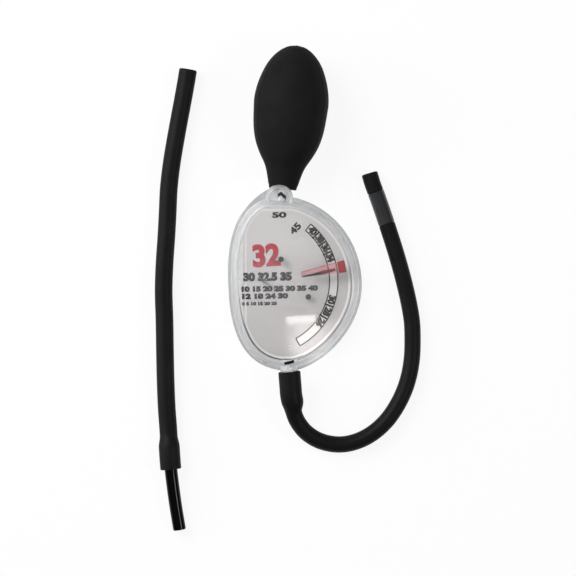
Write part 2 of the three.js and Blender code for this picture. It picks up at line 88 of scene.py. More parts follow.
def linear(colour: str) -> tuple[float, float, float, float]:
    """Turns an sRGB hex value to linear light.

    Args:
        colour: six hex digits after a hash sign.

    Returns:
        Red, green, blue and an alpha of one.
    """
    parts = [int(colour[i:i + 2], 16) / BYTE for i in (1, 3, 5)]
    red, green, blue = (c / SRGB_SLOPE if c <= SRGB_TOE
                        else ((c + SRGB_LIFT) / (1 + SRGB_LIFT)) ** SRGB_POWER for c in parts)
    return red, green, blue, 1.0


def add_node(tree: bpy.types.NodeTree, kind: str, values: dict | None = None,
             links: dict | None = None) -> bpy.types.Node:
    """Adds a node with its settings and links.

    Args:
        tree: the node tree of a material or world.
        kind: the node's type.
        values: input values by socket name or number, or settings by attribute name.
        links: output sockets by the name or number of the input that they feed.

    Returns:
        The new node.
    """
    made = tree.nodes.new(kind)
    for key, value in (values or {}).items():
        if isinstance(key, int) or key in made.inputs:
            made.inputs[key].default_value = value
        else:
            setattr(made, key, value)
    for key, socket in (links or {}).items():
        tree.links.new(socket, made.inputs[key])
    return made


@dataclass(frozen=True)
class Finish:
    """A surface: what the real one is, with its patches of a second colour and its grain.

    Patches and grain have their real size in metres; a share of 0 leaves them out, and 1 is full strength.
    """

    name: str
    slot: str
    colour: str
    roughness: float
    metallic: float = 0.0
    ior: float = 1.5
    specular: float = 0.5
    patch_colour: str = WHITE
    patch: float = 1 * MM
    patch_share: float = 0.0
    grain: float = 1 * MM
    grain_depth: float = 0.01 * MM
    grain_share: float = 0.3
    grain_detail: float = 3.0

    def material(self) -> bpy.types.Material:
        """Makes the material, or finds the one already made.

        Returns:
            The material.
        """
        found = bpy.data.materials.get(self.name)
        if found:
            return found
        made = bpy.data.materials.new(self.name)
        made.use_nodes = True
        tree = made.node_tree
        tree.nodes.clear()
        shader = add_node(tree, "ShaderNodeBsdfPrincipled", {
            "Base Color": linear(self.colour), "Roughness": self.roughness, "Metallic": self.metallic,
            "IOR": self.ior, "Specular IOR Level": self.specular})
        add_node(tree, "ShaderNodeOutputMaterial", links={"Surface": shader.outputs["BSDF"]})
        self.dress(tree, shader)
        return made

    def dress(self, tree: bpy.types.NodeTree, shader: bpy.types.Node) -> None:
        """Adds the patches and the grain.

        Args:
            tree: the material's nodes.
            shader: the shader that they change.
        """
        if self.patch_share:
            self.vary_colour(tree, shader)
        self.roughen(tree, shader)

    def vary_colour(self, tree: bpy.types.NodeTree, shader: bpy.types.Node) -> None:
        """Mottles the colour with the second one, as wear, dust or bloom does.

        Args:
            tree: the material's nodes.
            shader: the shader that takes the colour.
        """
        coordinates = add_node(tree, "ShaderNodeTexCoord")
        noise = add_node(tree, "ShaderNodeTexNoise",
                         {"Scale": 1 / self.patch, "Detail": PATCH_DETAIL, "Roughness": PATCH_BREAK},
                         {"Vector": coordinates.outputs["Object"]})
        span = {"From Min": PATCH_LOW, "From Max": PATCH_HIGH, "To Min": 0.0, "To Max": self.patch_share}
        ramp = add_node(tree, "ShaderNodeMapRange", span, {"Value": noise.outputs["Fac"]})
        first, second = linear(self.colour), linear(self.patch_colour)
        mix = add_node(tree, "ShaderNodeMix", {"data_type": "RGBA", MIX_FIRST: first, MIX_SECOND: second},
                       {MIX_SHARE: ramp.outputs["Result"]})
        tree.links.new(mix.outputs[MIX_RESULT], shader.inputs["Base Color"])

    def roughen(self, tree: bpy.types.NodeTree, shader: bpy.types.Node) -> None:
        """Gives the surface its grain.

        Args:
            tree: the material's nodes.
            shader: the shader whose normal the grain moves.
        """
        coordinates = add_node(tree, "ShaderNodeTexCoord")
        noise = add_node(tree, "ShaderNodeTexNoise", {"Scale": 1 / self.grain, "Detail": self.grain_detail},
                         {"Vector": coordinates.outputs["Object"]})
        bump = add_node(tree, "ShaderNodeBump", {"Distance": self.grain_depth, "Strength": self.grain_share},
                        {"Height": noise.outputs["Fac"]})
        tree.links.new(bump.outputs["Normal"], shader.inputs["Normal"])


@dataclass(frozen=True)
class MouldedRubber(Finish):
    """Black rubber, moulded or extruded: dull, with a fine grain and a little bloom on its skin.

    The grain is drawn coarser than the real 0.2 mm so that it shows as a faint tooth.
    """

    patch: float = 14 * MM
    patch_share: float = 0.6
    grain: float = 0.9 * MM
    grain_depth: float = 0.05 * MM
    grain_share: float = 0.5


@dataclass(frozen=True)
class ShrunkSleeve(Finish):
    """Heat-shrunk polyolefin: satin grey, a little cloudy in patches of 4 mm where it was heated.

    The grain is drawn at 0.8 mm, coarser than the real one so that it shows.
    """

    patch_colour: str = "#1d1f21"
    patch: float = 4 * MM
    patch_share: float = 0.7
    grain: float = 0.8 * MM
    grain_depth: float = 0.04 * MM
    grain_share: float = 0.4


@dataclass(frozen=True)
class DrawnNylon(Finish):
    """Black nylon tube drawn through a die: glossy, with waves of 5 mm and dust in patches of 2 mm."""

    patch_colour: str = "#040405"
    patch: float = 2 * MM
    patch_share: float = 0.8
    grain: float = 5 * MM
    grain_depth: float = 0.05 * MM


@dataclass(frozen=True)
class TurnedMetal(Finish):
    """Turned brass or drawn steel, dulled by the fluid: tool marks of 0.2 mm, and tarnish in darker spots."""

    patch_colour: str = "#3d3a2c"
    patch_share: float = 0.7
    grain: float = 0.2 * MM
    grain_share: float = 0.4


@dataclass(frozen=True)
# Also used for flat marks of painted shade, painted shadow and painted highlight.
class PrintInk(Finish):
    """Screen ink, flat and opaque: a grain of 0.4 mm, coarser than the screen's mesh that it stands for."""

    grain: float = 0.4 * MM


@dataclass(frozen=True)
class SeeThrough(Finish):
    """Thin coloured styrene, moulded with waves of 3 mm, that shows what lies behind it."""

    grain: float = 3 * MM
    grain_depth: float = 0.02 * MM
    alpha: float = 0.5

    def dress(self, tree: bpy.types.NodeTree, shader: bpy.types.Node) -> None:
        """Its alpha stands for how much of the ground shows through."""
        shader.inputs["Alpha"].default_value = self.alpha
        super().dress(tree, shader)


@dataclass(frozen=True)
class ClearStyrene(Finish):
    """Clear polystyrene, injection moulded: bright gloss, flow waves of 12 mm, milky grey in its depth."""

    grain: float = 12 * MM
    grain_depth: float = 0.04 * MM
    grain_share: float = 0.1
    grain_detail: float = 0.0
    haze: float = 0.07
    lamp_tint: str = "#fefefe"

    def dress(self, tree: bpy.types.NodeTree, shader: bpy.types.Node) -> None:
        """The haze keeps it from looking like cut glass, and lamps reach what is inside.

        Args:
            tree: the material's nodes.
            shader: the shader that turns clear.
        """
        shader.inputs["Transmission Weight"].default_value = 1 - self.haze
        super().dress(tree, shader)
        rays = add_node(tree, "ShaderNodeLightPath")
        clear = add_node(tree, "ShaderNodeBsdfTransparent", {"Color": linear(self.lamp_tint)})
        mix = add_node(tree, "ShaderNodeMixShader", links={
            0: rays.outputs["Is Shadow Ray"], 1: shader.outputs["BSDF"], 2: clear.outputs[0]})
        end = next(n for n in tree.nodes if n.type == "OUTPUT_MATERIAL")
        tree.links.new(mix.outputs[0], end.inputs["Surface"])


@dataclass(frozen=True)
class SilverCard(Finish):
    """Styrene sheet screened in silver grey: satin, with clouds of 20 mm and a 0.6 mm sparkle of pigment.

    Its colour also carries painted shade: darker from its upper left to its lower right, as the light falls
    from the upper left.
    """

    patch_colour: str = "#aaa7a6"
    patch: float = 20 * MM
    patch_share: float = 0.6
    grain: float = 0.6 * MM
    painted_shade_colour: str = "#969392"
    painted_shade_start: float = -20 * MM
    painted_shade_end: float = 90 * MM

    def dress(self, tree: bpy.types.NodeTree, shader: bpy.types.Node) -> None:
        """Adds painted shade: the colour gets darker towards the lower right.

        Args:
            tree: the material's nodes.
            shader: the shader that takes the colour.
        """
        super().dress(tree, shader)
        clouds = shader.inputs["Base Color"].links[0].from_socket
        coordinates = add_node(tree, "ShaderNodeTexCoord")
        axes = add_node(tree, "ShaderNodeSeparateXYZ", links={0: coordinates.outputs["Object"]})
        # painted shade: darker along X minus Y, away from the light at the upper left
        slant = add_node(tree, "ShaderNodeMath", {"operation": "SUBTRACT"},
                         {0: axes.outputs["X"], 1: axes.outputs["Y"]})
        share = add_node(tree, "ShaderNodeMapRange", {"From Min": self.painted_shade_start, "From Max": self.painted_shade_end},
                         {"Value": slant.outputs[0]})
        mix = add_node(tree, "ShaderNodeMix", {"data_type": "RGBA", MIX_SECOND: linear(self.painted_shade_colour)},
                       {MIX_SHARE: share.outputs["Result"], MIX_FIRST: clouds})
        tree.links.new(mix.outputs[MIX_RESULT], shader.inputs["Base Color"])


CLEAR = ClearStyrene("clear_styrene", "clear_shell", "#f4f4f4", 0.015, haze=0.02)
MILKY = ClearStyrene("clear_styrene_rear", "clear_shell", "#dedede", 0.14, haze=0.26)
WELDED = ClearStyrene("welded_styrene_flange", "clear_shell", "#b3b4b5", 0.25, haze=0.72)
SATIN = ClearStyrene("satin_styrene_wall", "clear_shell", "#e9eaeb", 0.3, specular=0.22, haze=0.14)
CARD = SilverCard("silver_printed_styrene", "dial_grey", "#b1aeae", 0.45)
BULB_RUBBER = MouldedRubber("moulded_bulb_rubber", "bulb_rubber", "#181819", 0.65, specular=0.05,
                            patch_colour="#1e1e1f")
HOSE_RUBBER = MouldedRubber("extruded_hose_rubber", "hose_rubber", "#0d0d0e", 0.5, specular=0.11,
                            patch_colour="#161617", grain=0.8 * MM, grain_depth=0.08 * MM)
SLEEVE = ShrunkSleeve("shrunk_polyolefin_sleeve", "sleeve_grey", "#101214", 0.32, specular=0.6)
TUBE = DrawnNylon("extruded_nylon_tube", "tube_black", "#010102", 0.1, specular=0.11)
RED_WEDGE = SeeThrough("red_styrene_thin", "pointer_red", "#ae4d56", 0.3, specular=0.3, alpha=0.25)
RED_INDEX = SeeThrough("red_styrene_thick", "pointer_red", "#7a0c19", 0.3, specular=0.15, alpha=0.97)
# painted shade: dark stripes along the pointer's lower side
POINTER_SHADE_RED = PrintInk("painted_pointer_shade", "pointer_red", "#150308", 0.5, specular=0.04)
POINTER_FAR_SHADE_RED = PrintInk("painted_pointer_far_shade", "pointer_red", "#5c1722", 0.5, specular=0.04)
RED_EDGE = SeeThrough("red_styrene_edge", "pointer_red", "#b04750", 0.3, alpha=0.6)
# painted shade: black for the dark mouths of the bores, seen through the clear shells
PAINTED_SHADE_BLACK = PrintInk("painted_shade_black_ink", "clear_shell", "#0c0c0c", 0.7, specular=0.1)
FLOAT = SeeThrough("pale_styrene_float", "float_pale", "#e4e6e7", 0.25, alpha=0.018)
BRASS = TurnedMetal("turned_brass", "weight_brass", "#57503f", 0.45, metallic=1.0)
STEEL = TurnedMetal("drawn_steel_wire", "pin_steel", "#a9abad", 0.35, metallic=1.0, patch_colour="#6d6e70")
BLACK_INK = PrintInk("black_screen_ink", "dial_grey", "#060505", 0.5, specular=0.12)
LINE_INK = PrintInk("grey_line_ink", "dial_grey", "#1c1919", 0.5, specular=0.12)
RED_INK = PrintInk("red_screen_ink", "dial_grey", "#94202c", 0.5, specular=0.12)
# painted highlight: the pale line along the dial plate's edge
BORDER_HIGHLIGHT_INK = PrintInk("painted_highlight_ink", "dial_grey", "#bebbbb", 0.45)
# painted shadow: the dark line at the dial plate's edge, below and on the right
EDGE_SHADOW_INK = PrintInk("painted_shadow_ink", "dial_grey", "#3c3939", 0.5, specular=0.12)
WHITE_INK = PrintInk("white_screen_ink", "dial_grey", "#b3b0af", 0.5)


# Frame and meshes


@dataclass(frozen=True)
class ToolFrame:
    """Where the tool stands: its pivot, and how far it leans back from level."""

    pivot: Vector
    tilt: float

    @classmethod
    def from_hinge(cls, name: str) -> "ToolFrame":
        """Reads the pivot and the dial's normal from the pointer's hinge.

        Args:
            name: the hinge's name in the frame.

        Returns:
            The tool's frame.
        """
        joint = next(j for j in frame["joints"] if j["name"] == name)
        axis = Vector(joint["axis"])
        return cls(Vector(joint["pos_m"]), math.atan2(-axis.y, axis.z))

    def matrix(self) -> Matrix:
        """Turns places on the tool to places in the scene."""
        return Matrix.Translation(self.pivot) @ Matrix.Rotation(self.tilt, 4, "X")


def loft(rings: list[list[Place]], loop: bool = False) -> tuple[list[Place], Faces]:
    """Joins rings of equal count.

    Args:
        rings: the rings, each run the same way.
        loop: whether the last ring joins the first; otherwise both ends are capped.

    Returns:
        Points and faces.
    """
    count = len(rings[0])
    points = [p for ring in rings for p in ring]
    faces: Faces = []
    for r in range(len(rings) if loop else len(rings) - 1):
        here, there = r * count, ((r + 1) % len(rings)) * count
        for i in range(count):
            j = (i + 1) % count
            faces.append((here + i, here + j, there + j, there + i))
    if not loop:
        faces.append(tuple(reversed(range(count))))
        faces.append(tuple(range(len(points) - count, len(points))))
    return points, faces


def circle(radius: float, height: float, sides: int) -> list[Place]:
    """A level ring about Z."""
    turns = [2 * math.pi * i / sides for i in range(sides)]
    return [(radius * math.cos(t), radius * math.sin(t), height) for t in turns]


def polar(reach: float, turn: float) -> Flat:
    """A place by its distance from the pivot and its angle in degrees."""
    return reach * math.cos(math.radians(turn)), reach * math.sin(math.radians(turn))


def in_mm(*points: Flat) -> tuple[Flat, ...]:
    """Points in a plane, given in mm."""
    return tuple((x * MM, y * MM) for x, y in points)


def turned(profile: Profile, sides: int, loop: bool = False) -> tuple[list[Place], Faces]:
    """Revolves a profile of radii and heights about Z.

    Args:
        profile: radius and height pairs, from low to high.
        sides: how many sides the revolve has.
        loop: whether the profile closes on itself.

    Returns:
        Points and faces.
    """
    return loft([circle(max(r, HAIR), h, sides) for r, h in profile], loop)


def mesh_object(name: str, points: list[Place], faces: Faces, place: Matrix | None = None,
                sharp: float = SHARP) -> bpy.types.Object:
    """Makes a smooth-shaded mesh object.

    Args:
        name: the object's name.
        points: its points.
        faces: its faces.
        place: a matrix that its points go through.
        sharp: the angle in degrees past which an edge stays sharp.

    Returns:
        The object, linked to the scene.
    """
    mesh = bpy.data.meshes.new(name)
    mesh.from_pydata(points, [], faces)
    if place is not None:
        mesh.transform(place)
    mesh.validate()
    shade(mesh, sharp)
    made = bpy.data.objects.new(name, mesh)
    bpy.context.scene.collection.objects.link(made)
    return made


def shade(mesh: bpy.types.Mesh, sharp: float) -> None:
    """Turns the faces outwards and shades them smooth up to an angle; a cap with many corners stays flat.

    Args:
        mesh: the mesh.
        sharp: the angle in degrees past which an edge stays sharp.
    """
    work = bmesh.new()
    work.from_mesh(mesh)
    bmesh.ops.recalc_face_normals(work, faces=work.faces)
    for face in work.faces:
        face.smooth = True
    work.to_mesh(mesh)
    work.free()
    mesh.set_sharp_from_angle(angle=math.radians(sharp))
    for cap in (face for face in mesh.polygons if len(face.vertices) > MANY_CORNERS):
        cap.use_smooth = False


class Cut(Enum):
    """What a boolean does with its second solid."""

    JOIN = "UNION"
    TAKE = "DIFFERENCE"


def combine(body: bpy.types.Object, other: bpy.types.Object, cut: Cut, sharp: float = SHARP) -> None:
    """Joins or cuts a solid by another, which is used up.

    Args:
        body: the solid that is kept.
        other: the solid that joins it or cuts it.
        cut: which of the two.
        sharp: the angle in degrees past which an edge stays sharp.
    """
    step = body.modifiers.new("cut", "BOOLEAN")
    step.operation = cut.value
    step.solver = "EXACT"
    step.object = other
    depsgraph = bpy.context.evaluated_depsgraph_get()
    result = bpy.data.meshes.new_from_object(body.evaluated_get(depsgraph))
    body.modifiers.clear()
    old, body.data = body.data, result
    bpy.data.meshes.remove(old)
    shade(result, sharp)
    bpy.data.objects.remove(other)


def finish_piece(piece: bpy.types.Object, finish: Finish, body: str, *nodes: str) -> bpy.types.Object:
    """Dresses a piece, sets it on its body and hides the solids that it stands for.

    Args:
        piece: the mesh object.
        finish: its surface.
        body: the body that carries it.
        nodes: the solids that it replaces.

    Returns:
        The piece.
    """
    piece.data.materials.clear()
    piece.data.materials.append(finish.material())
    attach(piece, body)
    if nodes:
        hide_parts(*nodes)
    LOG.info("%s: %d faces in %s", piece.name, len(piece.data.polygons), finish.name)
    return piece


def quarter_round(inset: float, height: float, radius: float, steps: int = 8) -> Profile:
    """A quarter round that starts along a wall and ends level, one radius further in and up."""
    turns = [math.pi / 2 * i / steps for i in range(steps + 1)]
    return [(inset + radius * (1 - math.cos(t)), height + radius * math.sin(t)) for t in turns]


def spline(knots: list[Place], steps: int) -> list[Vector]:
    """Centripetal Catmull-Rom curve through the knots.

    Args:
        knots: the points that it goes through.
        steps: how many steps each span takes.

    Returns:
        Points along the curve.
    """
    p = [Vector(k) for k in knots]
    p = [p[0] * 2 - p[1], *p, p[-1] * 2 - p[-2]]
    out: list[Vector] = []
    for i in range(1, len(p) - 2):
        a, b, c, d = p[i - 1:i + 3]
        t1 = (b - a).length ** 0.5
        t2 = t1 + (c - b).length ** 0.5
        t3 = t2 + (d - c).length ** 0.5
        for s in range(steps):
            t = t1 + (t2 - t1) * s / steps
            a1, a2 = a.lerp(b, t / t1), b.lerp(c, (t - t1) / (t2 - t1))
            a3 = c.lerp(d, (t - t2) / (t3 - t2))
            b1, b2 = a1.lerp(a2, t / t2), a2.lerp(a3, (t - t1) / (t3 - t1))
            out.append(b1.lerp(b2, (t - t1) / (t2 - t1)))
    return [*out, p[-2]]


class Path:
    """A centreline that can be asked for its frame at a distance."""

    span_steps: int = 12
    look: float = 0.4 * MM
    die_lines: tuple[Place, ...] = ((0.6, 7, 1.0), (0.4, 13, 2.3))

    def __init__(self, knots: list[Place]) -> None:
        """Runs a smooth curve through the knots.

        Args:
            knots: the points that it goes through.
        """
        self.points = spline(knots, self.span_steps)
        steps = [(b - a).length for a, b in zip(self.points, self.points[1:])]
        self.reach = np.concatenate([[0.0], np.cumsum(steps)])
        self.length = float(self.reach[-1])

    def at(self, distance: float) -> Vector:
        """The point at a distance from the start."""
        d = min(max(distance, 0.0), self.length)
        return Vector([float(np.interp(d, self.reach, [p[k] for p in self.points])) for k in range(3)])

    def along(self, distance: float) -> Vector:
        """The direction at a distance from the start."""
        return (self.at(distance + self.look) - self.at(distance - self.look)).normalized()

    def tube(self, profile: Profile, sides: int = 64, streak: float = 0.0) -> tuple[list[Place], Faces]:
        """Carries a closed profile of distances and radii along the path.

        Args:
            profile: distance and radius pairs, outside first, then back along the bore.
            sides: how many sides the tube has.
            streak: depth of the die lines that run along its skin.

        Returns:
            Points and faces.
        """
        side = Vector((0, 0, 1))
        frames: dict[float, tuple[Vector, Vector, Vector]] = {}
        for distance in sorted({d for d, _ in profile}):
            way = self.along(distance)
            side = (side - way * side.dot(way)).normalized()
            frames[distance] = (self.at(distance), side, way.cross(side))
        rings = []
        for distance, radius in profile:
            centre, up, cross = frames[distance]
            ring = []
            for i in range(sides):
                t = 2 * math.pi * i / sides
                waves = (share * math.sin(count * t + start) for share, count, start in self.die_lines)
                r = radius - streak * sum(waves, 1.0) / 2
                ring.append(tuple(centre + up * (r * math.cos(t)) + cross * (r * math.sin(t))))
            rings.append(ring)
        return loft(rings, loop=True)


def stations(knots: Profile, step: float = 1.5 * MM) -> Profile:
    """Fills a profile of distances and radii with eased steps between its knots.

    Args:
        knots: distance and radius pairs.
        step: about how far apart the steps are.

    Returns:
        The profile with its steps.
    """
    out: Profile = []
    for (d0, r0), (d1, r1) in zip(knots, knots[1:]):
        count = max(1, round(abs(d1 - d0) / step))
        for i in range(count):
            t = i / count
            ease = t * t * (3 - 2 * t)
            out.append((d0 + (d1 - d0) * t, r0 + (r1 - r0) * ease))
    return [*out, knots[-1]]


# The tool


class ShellFace(IntEnum):
    """Which of a shell's finishes a face takes."""

    POLISHED = 0
    # painted shade: black on the faces of a bore's mouth
    PAINTED_SHADE = 1
    WELDED = 2
    SATIN = 3


@dataclass(frozen=True)
class Passage:
    """A bore through one of the casing's tubes, with a black mark of painted shade in it, where the bore's
    mouth looks dark.

    Heights run along the tube's axis. The mark's edges fall by a slope to both sides of a peak.
    """

    axis: Matrix
    profile: Profile
    mark: Flat = (0.0, 0.0)
    slope: float = 0.0
    peak: float = 0.0

    def widest(self) -> float:
        """The bore's largest radius."""
        return max(radius for radius, _ in self.profile)

    def covers(self, spot: Vector) -> bool:
        """Whether a place on the bore, in the axis's own frame, lies in the mark."""
        off = abs(spot.x - self.peak)
        return self.mark[0] < spot.z - self.slope * off < self.mark[1]


@dataclass
class Casing:
    """Clear egg-shaped casing of two shells, drawn round the pointer's pivot."""

    place: Matrix
    right: float = 60.5 * MM
    left: float = 22.4 * MM
    top: float = 53.4 * MM
    bottom: float = 55.4 * MM
    window_depth: float = 11.0 * MM
    back_depth: float = 15.0 * MM
    wall: float = 2.0 * MM
    flange_width: float = 2.4 * MM
    flange_thickness: float = 1.9 * MM
    flange_round: float = 0.6 * MM
    root_fillet: float = 0.7 * MM
    fillet_cut: float = 0.3
    draft: float = 0.8 * MM
    shoulder: float = 3.2 * MM
    seam: float = 0.3 * MM
    boss: Flat = (9.5 * MM, 51.4 * MM)
    boss_radius: float = 8.6 * MM
    boss_depth: float = 7.6 * MM
    boss_round: float = 2.4 * MM
    web_degrees: float = 132.0
    web_share: float = 0.38
    web_bulge: float = 2.2 * MM
    bulb_foot: Flat = (11.5 * MM, 57.3 * MM)
    bulb_lean: float = 5.7
    spigot_radius: float = 5.2 * MM
    spigot_length: float = 15.0 * MM
    spigot_root: float = 9.5 * MM
    spigot_bore: float = 2.6 * MM
    spigot_ridge: float = 0.45 * MM
    spigot_chamfer: float = 0.8 * MM
    ridge_steps: tuple[int, int] = (5, 4)
    inlet_across: float = 15.6 * MM
    inlet_lean: float = 4.5
    nipple_radius: float = 4.3 * MM
    nipple_rise: float = 0.45 * MM
    nipple_length: float = 13.0 * MM
    nipple_root: float = 6.5 * MM
    root_radius: float = 5.6 * MM
    nipple_bore: float = 2.4 * MM
    barbs: int = 3
    pin_radius: float = 1.0 * MM
    pin_boss_radii: Flat = (2.2 * MM, 3.4 * MM)
    pin_ends: Flat = (8.0 * MM, 11.5 * MM)
    pin_boss_tips: Flat = (5.0 * MM, 4.2 * MM)
    stop_radius: float = 1.1 * MM
    stop_reach: float = 43.5 * MM
    stop_tip: float = 4.2 * MM
    stop_degrees: Flat = (57.8, -68.8)
    post_radius: float = 2.2 * MM
    post_tip: float = 3.9 * MM
    post_shares: tuple[Flat, ...] = ((0.62, 0.37), (0.49, -0.63), (-0.1, 0.61), (-0.11, -0.46))
    plate_room: float = 0.7 * MM
    # black mark of painted shade in the spigot's bore: its heights along the bore, slope and peak
    spigot_mark: Flat = (-3.9 * MM, -1.5 * MM)
    spigot_mark_slope: float = -0.8
    spigot_mark_peak: float = -0.7 * MM
    # where the slanting mark of painted shade over the inlet's mouth lies
    inlet_mark_across: Flat = (12.0 * MM, 20.0 * MM)
    inlet_mark_insets: Flat = (5.0 * MM, 6.5 * MM)
    inlet_mark_width: float = 1.8 * MM
    inlet_mark_rise: float = 0.16 * MM
    mark_step: float = 0.3 * MM
    overrun: float = 1.0 * MM
    bore_room: float = 1.05
    flange_room: float = 1.01
    level_share: float = 0.98
    node_shares: tuple[float, float, float, float] = (0.11, 0.042, 0.262, 0.12)
    handle_shares: tuple[Flat, ...] = ((0.68, 0.56), (0.465, 0.89), (0.35, 0.56), (0.6, 0.515))
    sides: int = 480
    quarter_steps: int = 300
    flange_steps: int = 4
    cavity_steps: int = 5
    web_steps: tuple[int, int] = (12, 17)
    boss_sides: int = 96
    tube_sides: int = 64
    pin_sides: int = 48
    post_sides: int = 32
    web_foot: Vector = field(default_factory=Vector)
    rings: list[tuple[Vector, Vector]] = field(default_factory=list)

    def __post_init__(self) -> None:
        """Samples the outline evenly, with its inward direction."""
        top_share, right_share, bottom_share, left_share = self.node_shares
        top = Vector((self.right * top_share, self.top))
        left = Vector((-self.left, self.top * left_share))
        bottom = Vector((self.right * bottom_share, -self.bottom))
        right = Vector((self.right, -self.bottom * right_share))
        nodes = [top, left, bottom, right, top]
        dense: list[Vector] = []
        for i, (one, two) in enumerate(self.handle_shares):
            dense += self.quarter(nodes[i], nodes[i + 1], i % 2 == 0, one, two)
        dense.append(top)
        upper_left = self.quarter(top, left, True, *self.handle_shares[0])
        self.web_foot = upper_left[round(self.web_share * self.quarter_steps)]
        reach = np.concatenate([[0.0], np.cumsum([(b - a).length for a, b in zip(dense, dense[1:])])])
        spots = np.linspace(0, reach[-1], self.sides, endpoint=False)
        even = [Vector((float(np.interp(s, reach, [p.x for p in dense])),
                        float(np.interp(s, reach, [p.y for p in dense])))) for s in spots]
        for i, p in enumerate(even):
            way = (even[(i + 1) % self.sides] - even[i - 1]).normalized()
            self.rings.append((p, Vector((-way.y, way.x))))

    def quarter(self, start: Vector, end: Vector, level: bool, one: float, two: float) -> list[Vector]:
        """One quarter of the outline, between two of its extreme points.

        Args:
            start: where the quarter starts.
            end: where it ends.
            level: whether it leaves its start level rather than upright.
            one: length of the first handle, as a share of the quarter's side.
            two: length of the second handle.

        Returns:
            Points along it, without its end.
        """
        across, up = end.x - start.x, end.y - start.y
        if level:
            first, second = Vector((start.x + across * one, start.y)), Vector((end.x, end.y - up * two))
        else:
            first, second = Vector((start.x, start.y + up * one)), Vector((end.x - across * two, end.y))
        out = []
        for i in range(self.quarter_steps):
            t = i / self.quarter_steps
            s = 1 - t
            out.append(start * s ** 3 + first * 3 * s * s * t + second * 3 * s * t * t + end * t ** 3)
        return out

    def ring(self, inset: float, height: float) -> list[Place]:
        """The outline drawn in by an inset, at a height."""
        return [(p.x + n.x * inset, p.y + n.y * inset, height) for p, n in self.rings]

    def outside(self, name: str, depth: float, way: int) -> bpy.types.Object:
        """The outside of one shell, still solid: flange, drafted wall, rounded shoulder and flat face.

        Args:
            name: the piece's name.
            depth: from the seam to the flat face.
            way: 1 for the front, -1 for the back.

        Returns:
            The solid.
        """
        profile = [(0.0, self.seam / 2)]
        profile += quarter_round(0.0, self.flange_thickness - self.flange_round, self.flange_round,
                                 self.flange_steps)
        cut = self.root_fillet * self.fillet_cut
        profile += [(self.flange_width - self.root_fillet, self.flange_thickness),
                    (self.flange_width - cut, self.flange_thickness + cut),
                    (self.flange_width, self.flange_thickness + self.root_fillet)]
        profile += quarter_round(self.flange_width + self.draft, depth - self.shoulder, self.shoulder)
        return mesh_object(name, *loft([self.ring(inset, height * way) for inset, height in profile]))

    def cavity(self, depth: float, way: int) -> bpy.types.Object:
        """The room inside one shell, from past the seam to its flat.

        Args:
            depth: from the seam to the shell's flat face.
            way: 1 for the front, -1 for the back.

        Returns:
            The room as a solid.
        """
        wall = self.flange_width + self.wall
        turn = self.shoulder - self.wall
        profile = [(wall, -self.overrun), (wall, self.flange_thickness)]
        profile += quarter_round(wall + self.draft, depth - self.wall - turn, turn, self.cavity_steps)
        return mesh_object("room", *loft([self.ring(inset, height * way) for inset, height in profile]))

    def boss_half(self, way: int) -> bpy.types.Object:
        """Half of the boss that the bulb's neck sits round.

        Args:
            way: 1 for the front, -1 for the back.

        Returns:
            The half.
        """
        corner = [(self.boss_radius - i, h)
                  for i, h in quarter_round(0.0, self.boss_depth - self.boss_round, self.boss_round)]
        profile = [(self.boss_radius, self.seam / 2), *corner]
        points, faces = turned([(r, h * way) for r, h in profile], self.boss_sides)
        return mesh_object("boss", points, faces, Matrix.Translation((*self.boss, 0)))

    def web(self, way: int) -> bpy.types.Object:
        """Web in the flange that swells from the boss into the left shoulder.

        Args:
            way: 1 for the front, -1 for the back.

        Returns:
            Its half.
        """
        round_boss, along_foot = self.web_steps
        centre = Vector(self.boss)
        plan = [centre - Vector((0, self.boss_radius))]
        for turn in np.linspace(math.pi / 2, math.radians(self.web_degrees), round_boss):
            plan.append(centre + Vector((math.cos(turn), math.sin(turn))) * self.boss_radius)
        start, foot = plan[-1], self.web_foot
        chord = (foot - start).normalized()
        bulge = (start + foot) / 2 + Vector((chord.y, -chord.x)) * self.web_bulge
        for share in np.linspace(0, 1, along_foot)[1:]:
            plan.append(start.lerp(bulge, share).lerp(bulge.lerp(foot, share), share))
        rings = [[(p.x, p.y, h * way) for p in plan] for h in (self.seam / 2, self.flange_thickness)]
        return mesh_object("web", *loft(rings))

    def bulb_axis(self) -> Matrix:
        """From the bulb's own axis, standing along Z, to the tool."""
        lean = Matrix.Rotation(math.radians(-self.bulb_lean), 4, "Z")
        return Matrix.Translation((*self.bulb_foot, 0)) @ lean @ Matrix.Rotation(-math.pi / 2, 4, "X")

    def inlet_axis(self) -> Matrix:
        """From the inlet's own axis, standing along Z and pointing down the tool, to the tool.

        Returns:
            The matrix.
        """
        lean = Matrix.Rotation(math.radians(self.inlet_lean), 4, "Z")
        foot = Matrix.Translation((self.inlet_across, -self.bottom, 0))
        return foot @ lean @ Matrix.Rotation(math.pi / 2, 4, "X")

    def tube(self, profile: Profile, axis: Matrix) -> bpy.types.Object:
        """A turned solid on one of the two tube axes."""
        return mesh_object("tube", *turned(profile, self.tube_sides), axis)

    def rod(self, radius: float, low: float, high: float, axis: Matrix) -> bpy.types.Object:
        """A plain rod between two heights on an axis."""
        return self.tube([(radius, low), (radius, high)], axis)

    def spigot(self) -> bpy.types.Object:
        """The tube that the bulb is pushed on, with one ridge near its end.

        Returns:
            The tube, not yet bored.
        """
        radius, edge, end = self.spigot_radius, self.spigot_chamfer, self.spigot_length
        ridge_start, ridge_top = (end - steps * edge for steps in self.ridge_steps)
        profile = [(radius, -self.spigot_root), (radius, ridge_start),
                   (radius + self.spigot_ridge, ridge_top), (radius, end - edge), (radius - edge, end)]
        return self.tube(profile, self.bulb_axis())

